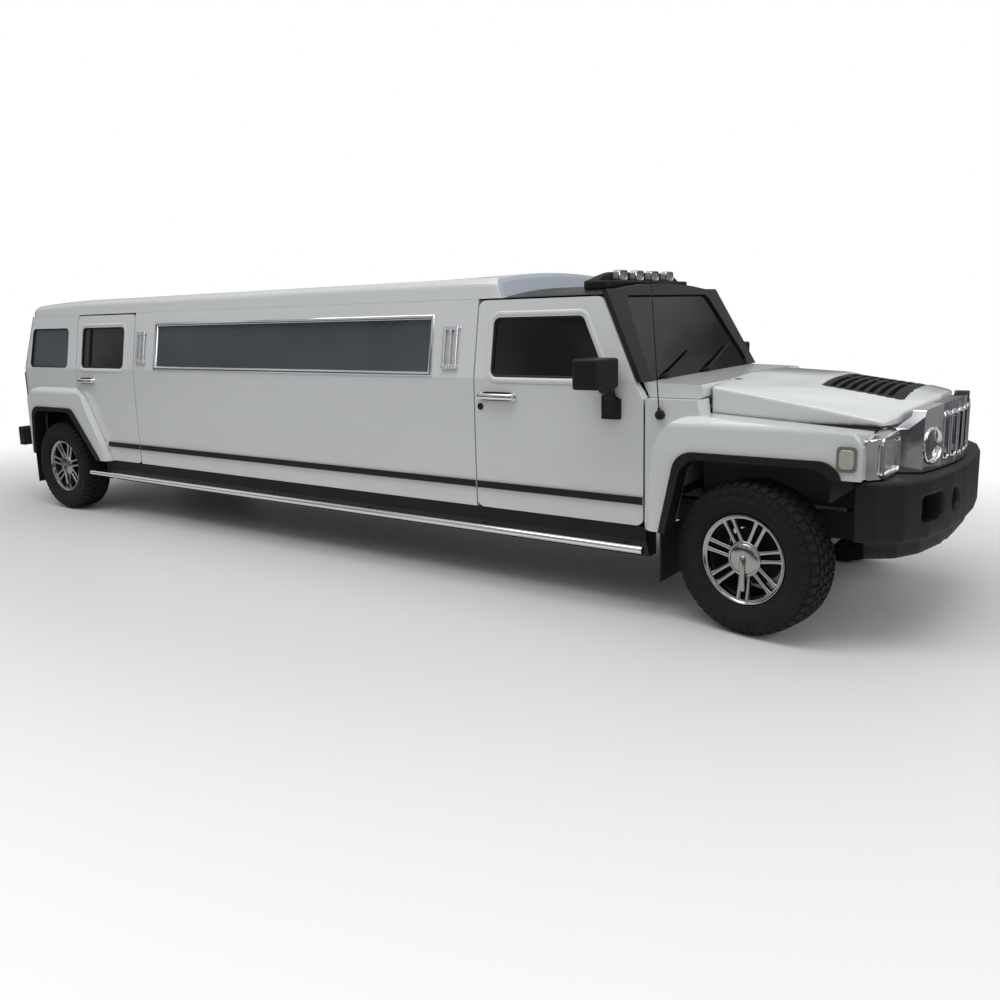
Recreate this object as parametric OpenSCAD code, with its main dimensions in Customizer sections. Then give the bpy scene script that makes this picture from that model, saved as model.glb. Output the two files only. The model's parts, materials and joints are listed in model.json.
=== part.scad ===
/* [Overall] */
// Distance between the front and rear axles
wheelbase = 6398; // [5600:1:7200]
// Front axle to the front face of the bumper
front_overhang = 840; // [800:1:900]
// Rear axle to the rear face of the body
body_tail = 800; // [780:1:900]
// Widest width over the body sides
body_w = 1732; // [1690:1:1780]
// Height of the body's lower edge
sill_z = 490; // [470:1:520]
// Height of the belt line under the windows
belt_z = 1278; // [1250:1:1300]
// Height of the top edge of the doors
rail_z = 1735; // [1700:1:1770]
// Lean of each side from the belt to the top edge of the doors
tumble = 79; // [60:1:100]
// Height of the raised roof at its middle
roof_z = 1885; // [1860:1:1940]
// Thickness of doors and walls below the belt
wall_t = 70; // [60:1:80]
// Thickness of window frames above the belt
frame_t = 45; // [40:1:55]

/* [Wheels] */
// Distance between the wheel centre planes of an axle
track = 1650; // [1620:1:1690]
// Outer diameter of a tyre
tyre_d = 794; // [760:1:820]
// Width of a tyre
tyre_w = 265; // [245:1:285]
// Diameter over the rim's outer lip
rim_d = 470; // [450:1:490]
// Width over the rim's lips
rim_w = 208; // [190:1:230]
// Number of twin spokes
spoke_pairs = 7; // [5:1:9]
// Steering angle at which the front wheels are parked, to the right
parked_steer = 11; // [0:1:20]

/* [Doors] */
// Front axle to the front edge of the front door
front_door_back = 613; // [605:1:640]
// Length of the front door
front_door_l = 1120; // [1060:1:1200]
// Rear axle forward to the front edge of the rear door
rear_door_lead = 1116; // [1060:1:1160]
// Length of the rear door at its top
rear_door_l = 858; // [820:1:900]
// Gap round every door and lid
door_gap = 10; // [9:0.5:14]
// Hinge pin axis behind the hinged edge
hinge_back = 40; // [36:1:46]
// Hinge pin axis below the outer skin
hinge_in = 18; // [17:0.5:20]
// Hinge pin radius
pin_r = 6; // [5:0.5:7]

/* [Windows] */
// Height of the lower edge of the windows
win_z0 = 1284; // [1270:1:1300]
// Height of the upper edge of the windows
win_z1 = 1634; // [1600:1:1650]
// Stretch panel left ahead of and behind the long window
long_win_inset = 345; // [330:1:500]
// Glass thickness
glass_t = 6; // [4:0.5:8]

/* [Hidden] */
$fn = 64;
ARC_FN = 32;

// Colours
paint = "white";
trim_black = [0.06, 0.06, 0.07];
chrome = [0.8, 0.8, 0.82];
tint = [0.12, 0.14, 0.16, 0.6];
steel = [0.3, 0.3, 0.32];

// Clearances: running fit, seats that touch, glass in its frame, door to sill and posts
run_gap = 0.05;
seat_gap = 0.3;
glass_gap = 0.3;
door_clear = 22;

// Long positions: axles, ends of the body, the box centre is the origin
spare_stand = 25;
rear_overhang = body_tail + spare_stand + tyre_w;
fa = (wheelbase + rear_overhang - front_overhang) / 2;
ra = fa - wheelbase;
nose_x = fa + front_overhang;
tail_x = ra - body_tail;

// Body side as [height, half width]: sill, widest, belt, door top, and on up the same lean
rail_w = body_w - 2 * tumble;
sill_tuck = 4;
belt_tuck = 2;
mid_z = (sill_z + belt_z) / 2;
lean = (body_w / 2 - belt_tuck - rail_w / 2) / (rail_z - belt_z);
lean_deg = atan(lean);
over_z = rail_z + 300;
skin = [[sill_z, body_w / 2 - sill_tuck], [mid_z, body_w / 2], [belt_z, body_w / 2 - belt_tuck],
    [rail_z, rail_w / 2], [over_z, rail_w / 2 - lean * 300]];
frame_step = 60;
thickness = [[belt_z - frame_step, wall_t], [belt_z, frame_t]];
function skin_y(z) = lookup(z, skin);
function wall_y(z) = lookup(z, thickness);
function levels(z0, z1) = concat([z0],
    [for (z = [mid_z, belt_z - frame_step, belt_z, rail_z]) if (z > z0 && z < z1) z], [z1]);
function reversed(list) = [for (i = [len(list) - 1 : -1 : 0]) list[i]];

// Flat outlines swept along one axis
module along_x(x0, x1) { translate([x0, 0, 0]) rotate([90, 0, 90]) linear_extrude(x1 - x0) children(); }
module along_y(y0, y1) { translate([0, y1, 0]) rotate([90, 0, 0]) linear_extrude(y1 - y0) children(); }
module along_z(z0, z1) { translate([0, 0, z0]) linear_extrude(z1 - z0) children(); }
module rounded(r) { offset(r = r, $fn = ARC_FN) offset(delta = -r) children(); }
module block(lo, hi) { translate(lo) cube(hi - lo); }
module both() {
    children();
    mirror([0, 1, 0]) children();
}
module on_side(s) {
    if (s > 0) children();
    else mirror([0, 1, 0]) children();
}

// Left body wall between two heights, its outer face moved by out
module wall(x0, x1, z0, z1, out = 0, thick = 0) {
    zs = levels(z0, z1);
    outer = [for (z = zs) [skin_y(z) + out, z]];
    inner = [for (z = zs) [skin_y(z) + out - (thick > 0 ? thick : wall_y(z)), z]];
    along_x(x0, x1) polygon(concat(outer, reversed(inner)));
}

// Hinge in its own frame: x to the hinged edge, y outward, z along the pin
pocket_r = pin_r + 4;
leaf_h = 50;
leaf_t = 14;
pocket_h = 70;
pin_reach = 20;
post_in = wall_t - hinge_in + door_clear;
module hinge_pocket() {
    reach = wall_t + hinge_back;
    translate([-pocket_r, -reach, -pocket_h / 2]) cube([reach, reach + pocket_r, pocket_h]);
    cylinder(h = pocket_h + 2 * pin_reach + 2, r = pin_r + run_gap, center = true);
}
module hinge_leaf(depth) {
    cylinder(h = pocket_h + 2 * pin_reach, r = pin_r, center = true);
    cylinder(h = leaf_h, r = pin_r + 2, center = true);
    translate([-leaf_t / 2, -depth, -leaf_h / 2]) cube([leaf_t, depth, leaf_h]);
}

// Windscreen plane: base and top edges, raked back
screen_base_back = 627;
screen_base_z = 1274;
screen_base_w = body_w - 238;
screen_top_w = rail_w - 430;
screen_run = 240;
screen_rise = rail_z + 3 - screen_base_z;
screen_rake = screen_run / screen_rise;
screen_deg = atan(screen_rake);
screen_l = sqrt(screen_run * screen_run + screen_rise * screen_rise);

// Doors
door_r = 45;
front_door_x0 = fa - front_door_back;
front_door_x1 = front_door_x0 - front_door_l;
rear_door_x0 = ra + rear_door_lead;
rear_door_x1 = rear_door_x0 - rear_door_l;
rake_z = belt_z - 105;
hinge_y = body_w / 2 - hinge_in;
hinge_zs = [sill_z + 190, belt_z - 180];
door_frame_back = 113;
door_frame_front = 160;
rear_frame_front = 145;
rear_frame_back = 70;

// Arches as distances from the axle: foot behind, top behind, top ahead, foot ahead
front_arch = [490, 395, 420, 490];
rear_arch = [490, 450, 215, 600];
arch_r = 110;
arch_z = 930;
lip_t = 38;
lip_out = 15;
flare_band = 105;
flare_out = 64;
flare_top_z = 1110;
flare_y = body_w / 2 + flare_out;
lip_y = flare_y + lip_out;
flare_foot_z = sill_z - 6;
module arch_2d(cx, arch, grow = 0, top_grow = 0) {
    top = arch_z + grow + top_grow;
    translate([cx, 0]) rounded(arch_r + max(grow, 0))
        polygon([[-arch[0] - grow, 0], [arch[3] + grow, 0], [arch[3] + grow, flare_foot_z],
            [arch[2] + grow, top], [-arch[1] - grow, top], [-arch[0] - grow, flare_foot_z]]);
}

module front_door_2d(grow = 0) {
    offset(delta = grow) rounded(door_r) polygon([[front_door_x0, sill_z], [front_door_x0, rake_z],
        [front_door_x0 - (rail_z - rake_z) * screen_rake, rail_z],
        [front_door_x1, rail_z], [front_door_x1, sill_z]]);
}
module front_window_2d(grow = 0) {
    offset(delta = grow) rounded(door_r) polygon([
        [front_door_x0 - door_frame_front - (win_z0 - rake_z) * screen_rake, win_z0],
        [front_door_x0 - door_frame_front - (win_z1 - rake_z) * screen_rake, win_z1],
        [front_door_x1 + door_frame_back, win_z1], [front_door_x1 + door_frame_back, win_z0]]);
}
module rear_door_2d(grow = 0) {
    offset(delta = grow) difference() {
        rounded(door_r) polygon([[rear_door_x0, sill_z], [rear_door_x0, rail_z],
            [rear_door_x1, rail_z], [rear_door_x1, sill_z]]);
        arch_2d(ra, rear_arch, flare_band + door_gap, flare_top_z - arch_z - flare_band);
    }
}
module rear_window_2d(grow = 0) {
    offset(delta = grow) rounded(door_r) polygon([[rear_door_x0 - rear_frame_front, win_z0],
        [rear_door_x0 - rear_frame_front, win_z1], [rear_door_x1 + rear_frame_back, win_z1],
        [rear_door_x1 + rear_frame_back, win_z0]]);
}
long_win_x0 = front_door_x1 - long_win_inset;
long_win_x1 = rear_door_x0 + long_win_inset - 45;
module long_window_2d(grow = 0) {
    offset(delta = grow) polygon([[long_win_x0, win_z0 + 4], [long_win_x0, win_z1 + 14],
        [long_win_x1, win_z1 + 14], [long_win_x1, win_z0 + 4]]);
}
quarter_post = 150;
quarter_tail = 265;
module quarter_window_2d(grow = 0) {
    offset(delta = grow) rounded(door_r) polygon([[rear_door_x1 - quarter_post, win_z0],
        [rear_door_x1 - quarter_post, win_z1], [tail_x + quarter_tail + 30, win_z1],
        [tail_x + quarter_tail, win_z0]]);
}

module front_door(s) {
    color(paint) on_side(s) difference() {
        intersection() {
            wall(front_door_x1, front_door_x0, sill_z, rail_z);
            along_y(0, body_w) front_door_2d();
        }
        along_y(0, body_w) front_window_2d();
        for (z = hinge_zs) translate([front_door_x0 - hinge_back, hinge_y, z]) hinge_pocket();
    }
}
module rear_door(s) {
    color(paint) on_side(s) difference() {
        intersection() {
            wall(rear_door_x1, rear_door_x0, sill_z, rail_z);
            along_y(0, body_w) rear_door_2d();
        }
        along_y(0, body_w) rear_window_2d();
        for (z = hinge_zs) translate([rear_door_x0 - hinge_back, hinge_y, z]) hinge_pocket();
    }
}

// Glass lies this far below the outer skin
glass_in = 18;
module pane(x0, x1) { wall(x0, x1, win_z0 - 50, win_z1 + 50, -glass_in, glass_t); }
module front_glass(s) {
    color(tint) on_side(s) intersection() {
        pane(front_door_x1, front_door_x0);
        along_y(0, body_w) front_window_2d(-glass_gap);
    }
}
module rear_glass(s) {
    color(tint) on_side(s) intersection() {
        pane(rear_door_x1, rear_door_x0);
        along_y(0, body_w) rear_window_2d(-glass_gap);
    }
}
module fixed_glass() {
    color(tint) {
        both() intersection() {
            pane(long_win_x1, long_win_x0);
            along_y(0, body_w) long_window_2d(-glass_gap);
        }
        both() intersection() {
            pane(tail_x, rear_door_x1);
            along_y(0, body_w) quarter_window_2d(-glass_gap);
        }
        screen_place() along_x(-screen_in - glass_t, -screen_in) screen_2d(-glass_gap);
    }
}

// Frame of the windscreen: x out of the glass, y across, z up along the slope
screen_in = 14;
module screen_place() {
    translate([fa - screen_base_back, 0, screen_base_z]) rotate([0, -screen_deg, 0]) children();
}
module screen_2d(grow = 0) {
    offset(delta = grow) rounded(60) polygon([[-screen_base_w / 2, 0], [screen_base_w / 2, 0],
        [screen_top_w / 2, screen_l], [-screen_top_w / 2, screen_l]]);
}

// Cab roof: black crown over the doors, running down into the two raked pillars
cab_crown = 63;
cab_roof_t = 40;
cab_crown_r = 5000;
roof_front_back = 1554;
roof_slant = 80;
roof_base_z = rail_z + door_gap;
cab_roof_x1 = fa - roof_front_back - 60;
pillar_t = 28;
pillar_inset = 10;
header = 60;
module crown_2d(half_w, z0, z1, r) {
    intersection() {
        polygon([[-skin_y(z0), z0], [skin_y(z0), z0], [skin_y(over_z), over_z], [-skin_y(over_z), over_z]]);
        translate([0, z1 - r]) circle(r = r, $fn = 360);
        translate([-half_w, z0]) square([2 * half_w, z1 - z0]);
    }
}
module cab_section(grow = 0) {
    offset(delta = grow) intersection() {
        rounded(25) crown_2d(body_w / 2, roof_base_z - 200, roof_base_z + cab_crown, cab_crown_r);
        translate([-body_w, roof_base_z]) square([2 * body_w, 200]);
    }
}
module cab_roof() {
    front_x = fa - screen_base_back - screen_run;
    color(trim_black) {
        difference() {
            along_x(cab_roof_x1, front_x + 30) cab_section();
            along_x(cab_roof_x1 - 1, front_x - header) translate([0, -cab_roof_t])
                crown_2d(rail_w / 2 - cab_roof_t, roof_base_z - 200, roof_base_z + cab_crown, cab_crown_r);
            screen_place() translate([0, -body_w, -body_w]) cube([body_w, 2 * body_w, 2 * body_w]);
        }
        intersection() {
            difference() {
                screen_place() along_x(-pillar_t, 0) polygon([[-body_w / 2, -20], [body_w / 2, -20],
                    [body_w / 2, screen_l + 40], [-body_w / 2, screen_l + 40]]);
                screen_place() along_x(-pillar_t - 1, 1) screen_2d();
                both() along_y(rail_w / 2 - 120, body_w) front_door_2d(door_gap);
            }
            along_x(fa - front_door_back - front_door_l, fa)
                polygon(concat([for (z = [screen_base_z, roof_base_z + 60]) [skin_y(z) - pillar_inset, z]],
                    [for (z = [roof_base_z + 60, screen_base_z]) [-skin_y(z) + pillar_inset, z]]));
        }
    }
}

// Raised roof of the long cabin, open below
roof_t = 35;
roof_crown_r = 3200;
roof_x0 = fa - roof_front_back;
roof_drop = 45;
module roof_section() { rounded(70) crown_2d(body_w, roof_base_z - 200, roof_z, roof_crown_r); }
module roof_side_2d() {
    tail_top = tail_x + tail_lean;
    rounded(90) polygon([[roof_x0 + 120, roof_base_z - 200], [roof_x0, roof_base_z],
        [roof_x0 - roof_slant, roof_z + 5], [ra + 500, roof_z + 5], [tail_top + 230, roof_z - roof_drop],
        [tail_top + 40, roof_base_z + 30], [tail_top - 40, roof_base_z - 200]]);
}
module roof() {
    color(paint) difference() {
        intersection() {
            along_x(tail_x, roof_x0) roof_section();
            along_y(-body_w, body_w) roof_side_2d();
            along_z(roof_base_z, roof_z + 10) tail_plan_2d(0, rail_w + tail_slack, tail_lean);
        }
        intersection() {
            along_x(tail_x, roof_x0) offset(delta = -roof_t) roof_section();
            along_y(-body_w, body_w) offset(delta = -roof_t) roof_side_2d();
            along_z(0, roof_z) tail_plan_2d(-roof_t, rail_w + tail_slack, tail_lean);
        }
        block([cab_roof_x1 - seat_gap, -body_w, 0], [roof_x0 + 10, body_w, roof_base_z + seat_gap]);
        along_x(cab_roof_x1 - seat_gap, roof_x0 + 10) cab_section(seat_gap);
    }
}

// Floor with a sill along each side, standing on the frame's mounts
floor_z = 600;
floor_t = 30;
sill_h = 160;
floor_y = body_w / 2 - wall_t - door_clear;
sill_w = 110;
floor_x0 = fa - 560;
wheel_house_l = 1000;
wheel_house_y = 640;
module floor_pan() {
    house_x = ra - wheel_house_l / 2;
    color(steel) difference() {
        union() {
            block([tail_x + wall_t + door_clear, -floor_y, floor_z], [floor_x0, floor_y, floor_z + floor_t]);
            both() block([tail_x + wall_t + door_clear, floor_y - sill_w, floor_z + floor_t - sill_h],
                [floor_x0, floor_y, floor_z + floor_t]);
            both() block([house_x - 20, wheel_house_y - 20, floor_z],
                [house_x + wheel_house_l + 20, floor_y, arch_z + 20]);
        }
        both() block([house_x, wheel_house_y, 0], [house_x + wheel_house_l, body_w, arch_z]);
        both() block([tail_x, body_w / 2 - wall_t - tail_fillet, 0],
            [tail_x + wall_t + tail_fillet, body_w, floor_z + floor_t + 1]);
    }
}

// Side panels of the stretch, with the rear door's hinge posts
post_t = 70;
flange_h = 30;
panel_x0 = front_door_x1 - door_gap;
panel_x1 = rear_door_x0 + door_gap;
module stretch_panels() {
    color(paint) both() {
        difference() {
            union() {
                wall(panel_x1, panel_x0, sill_z, roof_base_z);
                block([panel_x1, floor_y - sill_w, floor_z + floor_t],
                    [panel_x0, skin_y(floor_z) - wall_t + 1, floor_z + floor_t + flange_h]);
            }
            along_y(0, body_w) long_window_2d();
        }
        block([rear_door_x0 - hinge_back - 30, floor_y - post_t, floor_z + floor_t],
            [panel_x1 + 60, floor_y, belt_z - frame_step]);
        block([panel_x1, floor_y - 1, floor_z + floor_t],
            [panel_x1 + 60, skin_y(floor_z) - wall_t + 1, belt_z - frame_step]);
        for (z = hinge_zs) translate([rear_door_x0 - hinge_back, hinge_y, z]) hinge_leaf(post_in + 10);
    }
}

// Flare: a block round the arch, its outer corners eased
flare_r = 55;
module flare(cx, arch, x0, x1) {
    back = cx - arch[0] - flare_band;
    front = cx + arch[3] + flare_band;
    difference() {
        intersection() {
            along_y(skin_y(sill_z) - wall_t, flare_y)
                arch_2d(cx, arch, flare_band, flare_top_z - arch_z - flare_band);
            along_x(x0, x1) rounded(flare_r) polygon([[flare_y - 500, flare_foot_z - 200],
                [flare_y - 8, flare_foot_z - 200], [flare_y, arch_z], [flare_y - 12, flare_top_z - 25],
                [flare_y - 70, flare_top_z], [flare_y - 500, flare_top_z]]);
            along_z(flare_foot_z, flare_top_z) rounded(flare_r) polygon([[back, flare_y - 600],
                [back, flare_y - 40], [back + 60, flare_y], [front - 60, flare_y], [front, flare_y - 40],
                [front, flare_y - 600]]);
        }
        along_y(0, 2 * flare_y) arch_2d(cx, arch);
    }
}

// Tail: upright to the belt, then leaning forward to the roof, its corners round in plan
tail_lean = 95;
tail_r = 240;
tail_fillet = 150;
tail_over = tail_lean * (roof_z - belt_z) / (rail_z - belt_z);
module tail_band_2d(in, thick, top_thick) {
    x = tail_x + in;
    polygon([[x, 0], [x, belt_z], [x + tail_over, roof_z], [x + tail_over + top_thick, roof_z],
        [x + thick, belt_z], [x + thick, 0]]);
}
module tail_plan_2d(grow = 0, width = body_w, lean = 0) {
    offset(delta = grow) rounded(tail_r) translate([tail_x + lean, -width / 2]) square([wheelbase, width]);
}
tail_slack = 2;
module tail_form() {
    hull() {
        along_z(sill_z - 20, belt_z) tail_plan_2d(0, body_w + tail_slack);
        along_z(roof_base_z, roof_base_z + 1) tail_plan_2d(0, rail_w + tail_slack, tail_lean);
    }
}
module behind_tail() {
    along_y(-body_w, body_w) polygon([[tail_x - 300, belt_z], [tail_x, belt_z], [tail_x + tail_over, roof_z],
        [tail_x - 300, roof_z]]);
}

// Rear quarters with their flares, corner posts and the tailgate's hinge post
gate_w = 1330;
gate_z0 = 720;
gate_z1 = 1690;
gate_hinge_y = -gate_w / 2 + hinge_back;
gate_hinge_zs = [gate_z0 + 170, belt_z - 60];
tail_lamp_z = [990, 1232];
tail_lamp_in = 170;
tail_lamp_reach = 110;
tail_lamp_deep = 35;
module gate_frame() {
    translate([tail_x + hinge_in, gate_hinge_y, 0]) rotate([0, 0, -90]) mirror([0, 1, 0]) children();
}
module gate_2d(grow = 0) {
    offset(delta = grow) rounded(60) translate([-gate_w / 2, gate_z0]) square([gate_w, gate_z1 - gate_z0]);
}
module rear_section_2d() {
    zs = levels(sill_z, roof_base_z);
    polygon(concat([for (z = zs) [skin_y(z), z]], [for (z = reversed(zs)) [-skin_y(z), z]]));
}
module gate_post(in, thick, y0) {
    intersection() {
        along_y(y0, floor_y) tail_band_2d(in, thick, thick);
        block([tail_x, 0, floor_z + floor_t], [tail_x + body_tail, body_w, roof_base_z]);
    }
}
module tail_lamp_seat(grow) {
    intersection() {
        along_z(tail_lamp_z[0] - grow, tail_lamp_z[1] + grow) difference() {
            tail_plan_2d(50);
            tail_plan_2d(-tail_lamp_deep - grow);
        }
        block([tail_x - 60, body_w / 2 - tail_lamp_in - grow, 0],
            [tail_x + tail_lamp_reach + grow, body_w, roof_z]);
    }
}
module tail_corner() {
    along_z(sill_z, roof_base_z) translate([tail_x + wall_t, body_w / 2 - wall_t]) difference() {
        translate([-1, -tail_fillet]) square([tail_fillet + 1, tail_fillet + 1]);
        translate([tail_fillet, -tail_fillet]) circle(r = tail_fillet);
    }
}
module quarter(s) {
    jamb_y = gate_w / 2 + door_gap;
    on_side(s) difference() {
        union() {
            intersection() {
                union() {
                    wall(tail_x, rear_door_x0, sill_z, roof_base_z);
                    gate_post(wall_t + door_clear, post_t, gate_w / 2 - 100);
                    gate_post(frame_t - 5, wall_t - frame_t + 5 + door_clear + post_t, jamb_y);
                    intersection() {
                        tail_corner();
                        along_x(tail_x, tail_x + body_tail) rear_section_2d();
                    }
                    intersection() {
                        along_x(tail_x, tail_x + body_tail) rear_section_2d();
                        along_y(-1, body_w) tail_band_2d(0, wall_t, frame_t);
                        block([tail_x, -1, sill_z], [tail_x + body_tail, body_w, roof_base_z]);
                    }
                }
                tail_form();
            }
            flare(ra, rear_arch, tail_x, rear_door_x0);
        }
        behind_tail();
        along_y(0, body_w) rear_door_2d(door_gap);
        block([rear_door_x0 - 100, 0, 0], [rear_door_x0 + wheelbase, body_w, roof_z]);
        along_y(0, body_w) quarter_window_2d();
        along_y(0, body_w) arch_2d(ra, rear_arch);
        intersection() {
            along_y(-2, jamb_y) tail_band_2d(-1, wall_t + door_clear, wall_t + door_clear);
            block([tail_x - 1, -2, gate_z0 - door_gap], [tail_x + body_tail, jamb_y, gate_z1 + door_gap]);
        }
        block([tail_x - 1, -2, 0], [tail_x + wall_t + 1, jamb_y, rail_z1 + seat_gap]);
        tail_lamp_seat(seat_gap);
    }
}
module rear_quarters() {
    color(paint) {
        quarter(1);
        quarter(-1);
        gate_frame() for (z = gate_hinge_zs) translate([0, 0, z]) hinge_leaf(post_in + 10);
    }
}
module tail_lamps() {
    color([0.7, 0.05, 0.05]) both() intersection() {
        tail_lamp_seat(0);
        along_z(0, roof_z) tail_plan_2d(12);
    }
}
gate_win_w = 1050;
module gate_window_2d(grow = 0) {
    offset(delta = grow) rounded(60) translate([-gate_win_w / 2, win_z0 - 10])
        square([gate_win_w, win_z1 - win_z0 + 10]);
}
module tailgate() {
    color(paint) difference() {
        union() {
            intersection() {
                along_x(tail_x, tail_x + body_tail) gate_2d();
                along_y(-gate_w, gate_w) tail_band_2d(0, wall_t, frame_t);
            }
            along_x(tail_x - spare_stand - tyre_w / 2 + disc_in, tail_x + 1) translate([0, spare_z]) circle(r = 90);
        }
        along_x(tail_x - 1, tail_x + body_tail) gate_window_2d();
        gate_frame() for (z = gate_hinge_zs) translate([0, 0, z]) hinge_pocket();
    }
}
module tailgate_glass() {
    color(tint) intersection() {
        along_x(tail_x, tail_x + body_tail) gate_window_2d(-glass_gap);
        along_y(-gate_w, gate_w) tail_band_2d(glass_in, glass_t, glass_t);
    }
}

// Scuttle, bulkhead and the front doors' hinge posts
hood_back = 298;
hood_rear_x = fa - hood_back;
cowl_z0 = 1190;
cowl_z1 = 1268;
cowl_w = body_w - 152;
bulkhead_x = fa - 600;
bulkhead_t = 40;
hood_hinge_ys = [-430, 430];
hood_top_z = 1266;
hood_rise = 19;
hood_gap = 12;
hood_hinge_back = 60;
hood_pin_drop = 6;
hood_axis = [hood_rear_x + hood_hinge_back, hood_top_z - hood_pin_drop];
module hood_frame(y) { translate([hood_axis[0], y, hood_axis[1]]) rotate([90, 0, 180]) children(); }
module cowl() {
    tray_y = hood_half - hood_t - 30;
    color(paint) {
        difference() {
            along_y(-cowl_w / 2, cowl_w / 2) rounded(20) polygon([
                [fa - screen_base_back - 40, cowl_z0], [hood_rear_x - hood_gap, cowl_z0],
                [hood_rear_x - hood_gap, cowl_z1 - 8], [fa - screen_base_back - 20, cowl_z1 + 4],
                [fa - screen_base_back - 40, cowl_z1]]);
            both() along_y(0, body_w) front_door_2d(door_gap);
            screen_place() along_x(-screen_in - glass_t - seat_gap, cowl_w) screen_2d();
        }
        block([bulkhead_x - bulkhead_t, -floor_y, floor_z + floor_t], [bulkhead_x, floor_y, cowl_z0 + 10]);
        block([hood_rear_x - 120, -tray_y, cowl_z0 - 60], [hood_axis[0] + 20, tray_y, cowl_z0 - 40]);
        block([hood_rear_x - 120, -tray_y, cowl_z0 - 60], [hood_rear_x - 80, tray_y, cowl_z0 + 10]);
        for (y = hood_hinge_ys) hood_frame(y) hinge_leaf(hood_axis[1] - cowl_z0 + 45);
        both() {
            block([front_door_x0 - hinge_back - 30, floor_y - post_t, floor_z + floor_t],
                [bulkhead_x, floor_y, cowl_z0 + 10]);
            for (z = hinge_zs) translate([front_door_x0 - hinge_back, hinge_y, z]) hinge_leaf(post_in + 10);
        }
    }
}

// Front fenders: side skin, shelf beside the hood and the flare, standing over the bumper
bumper_z0 = 460;
bumper_z1 = 838;
fender_x1 = front_door_x0 + door_gap;
fender_x0 = fa + 520;
fender_t = 40;
hood_side_y = body_w / 2 - 151;
shelf_drop = 54;
fender_z0 = bumper_z1 + 6;
module fender_2d(grow = 0) {
    offset(delta = grow) polygon([[fender_x1, sill_z], [fender_x1, cowl_z0 - 2], [hood_rear_x - door_gap, cowl_z0 - 2],
        [hood_rear_x, flare_top_z], [fender_x0, flare_top_z - shelf_drop],
        [fender_x0, fender_z0], [fa + front_arch[3], fender_z0], [fa + front_arch[3], sill_z]]);
}
// Panel across the front that carries the radiator
support_x = 470;
support_t = 30;
support_z0 = 600;
support_top = 1068;
support_in = 125;
module front_fenders() {
    color(paint) block([fa + support_x, -hood_side_y - 1, support_z0],
        [fa + support_x + support_t, hood_side_y + 1, flare_top_z - shelf_drop]);
    color(paint) block([fa + support_x, support_in - hood_side_y, support_z0],
        [fa + support_x + support_t, hood_side_y - support_in, support_top]);
    color(paint) both() difference() {
        union() {
            along_y(hood_side_y, skin_y(sill_z)) fender_2d();
            intersection() {
                flare(fa, front_arch, fender_x1, nose_x);
                along_y(0, 2 * flare_y) polygon([[fender_x1, 0], [fender_x1, flare_top_z], [hood_rear_x, flare_top_z],
                    [fender_x0, flare_top_z - shelf_drop], [fender_x0, 0]]);
            }
        }
        intersection() {
            along_y(hood_side_y - 50, skin_y(sill_z) - fender_t) fender_2d(-fender_t);
            block([fa - 420, 0, 0], [fa + 1000, body_w, 1300]);
        }
        along_y(0, 2 * flare_y) arch_2d(fa, front_arch);
        block([fa, 0, 0], [nose_x, 2 * flare_y, fender_z0]);
        block([0, 0, 0], [fender_x1 + 60, floor_y + seat_gap, 1300]);
    }
}

// Hood as sections from rear to nose: [ahead of the axle, half width, centre, shoulder, lower edge]
hood_half = hood_side_y - door_gap;
hood_t = 25;
hood_cols = 8;
hood_power = 2.6;
hood_top = hood_top_z + hood_rise;
hood_sections = [[-hood_back, hood_half, hood_top, hood_top - 37, flare_top_z - 12],
    [120, hood_half - 14, hood_top - 10, hood_top - 110, flare_top_z - 40],
    [535, hood_half - 66, hood_top - 63, hood_top - 196, flare_top_z - 42],
    [604, hood_half - 176, hood_top - 81, hood_top - 155, flare_top_z - 38],
    [665, hood_half - 345, hood_top - 93, hood_top - 125, flare_top_z - 20],
    [698, hood_half - 555, hood_top - 99, hood_top - 113, flare_top_z - 10]];
module hood_skin(inset) {
    hull() for (h = hood_sections) {
        w = h[1] - inset;
        arch = [for (i = [-hood_cols : hood_cols]) let (u = i / hood_cols)
            [w * sin(90 * u), h[3] - inset + (h[2] - h[3]) * (1 - pow(abs(sin(90 * u)), hood_power))]];
        translate([fa + h[0] - (h[0] > 0 ? inset : 0), 0, 0]) along_x(0, 0.01)
            polygon(concat([[-w, h[4] - (inset > 0 ? 120 : 0)]], arch, [[w, h[4] - (inset > 0 ? 120 : 0)]]));
    }
}
module hood() {
    color(paint) difference() {
        union() {
            difference() {
                hood_skin(0);
                hood_skin(hood_t);
                block([hood_rear_x - 1, -hood_half + hood_t + 1, 0], [hood_rear_x + hood_t, hood_half - hood_t - 1, hood_top_z - 70]);
            }
            for (y = hood_hinge_ys) intersection() {
                block([hood_rear_x + 2, y - 80, hood_axis[1] - 22], [hood_axis[0] + 30, y + 80, roof_z]);
                hood_skin(2);
            }
        }
        for (y = hood_hinge_ys) hood_frame(y) hinge_pocket();
        along_z(flare_top_z - hood_t, roof_z) vent_2d(seat_gap);
    }
}

// Louvred vent let into the hood
vent_x = 170;
vent_l = 400;
vent_w = 780;
vent_edge = 34;
vent_sink = 5;
vent_slats = 7;
module vent_2d(grow = 0) {
    offset(delta = grow) rounded(25) translate([fa + vent_x, -vent_w / 2]) square([vent_l, vent_w]);
}
module hood_vent() {
    pitch = (vent_l - 2 * vent_edge) / vent_slats;
    slot_l = vent_w / 2 - 1.5 * vent_edge;
    color(trim_black) difference() {
        intersection() {
            difference() {
                hood_skin(vent_sink);
                hood_skin(hood_t);
            }
            along_z(flare_top_z - hood_t, roof_z) vent_2d();
        }
        for (i = [0 : vent_slats - 1], side = [-1, 1])
            translate([fa + vent_x + vent_edge + i * pitch, side * (vent_w / 4 - vent_edge / 4) - slot_l / 2, 0])
                cube([pitch * 0.55, slot_l, roof_z]);
    }
}

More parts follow.
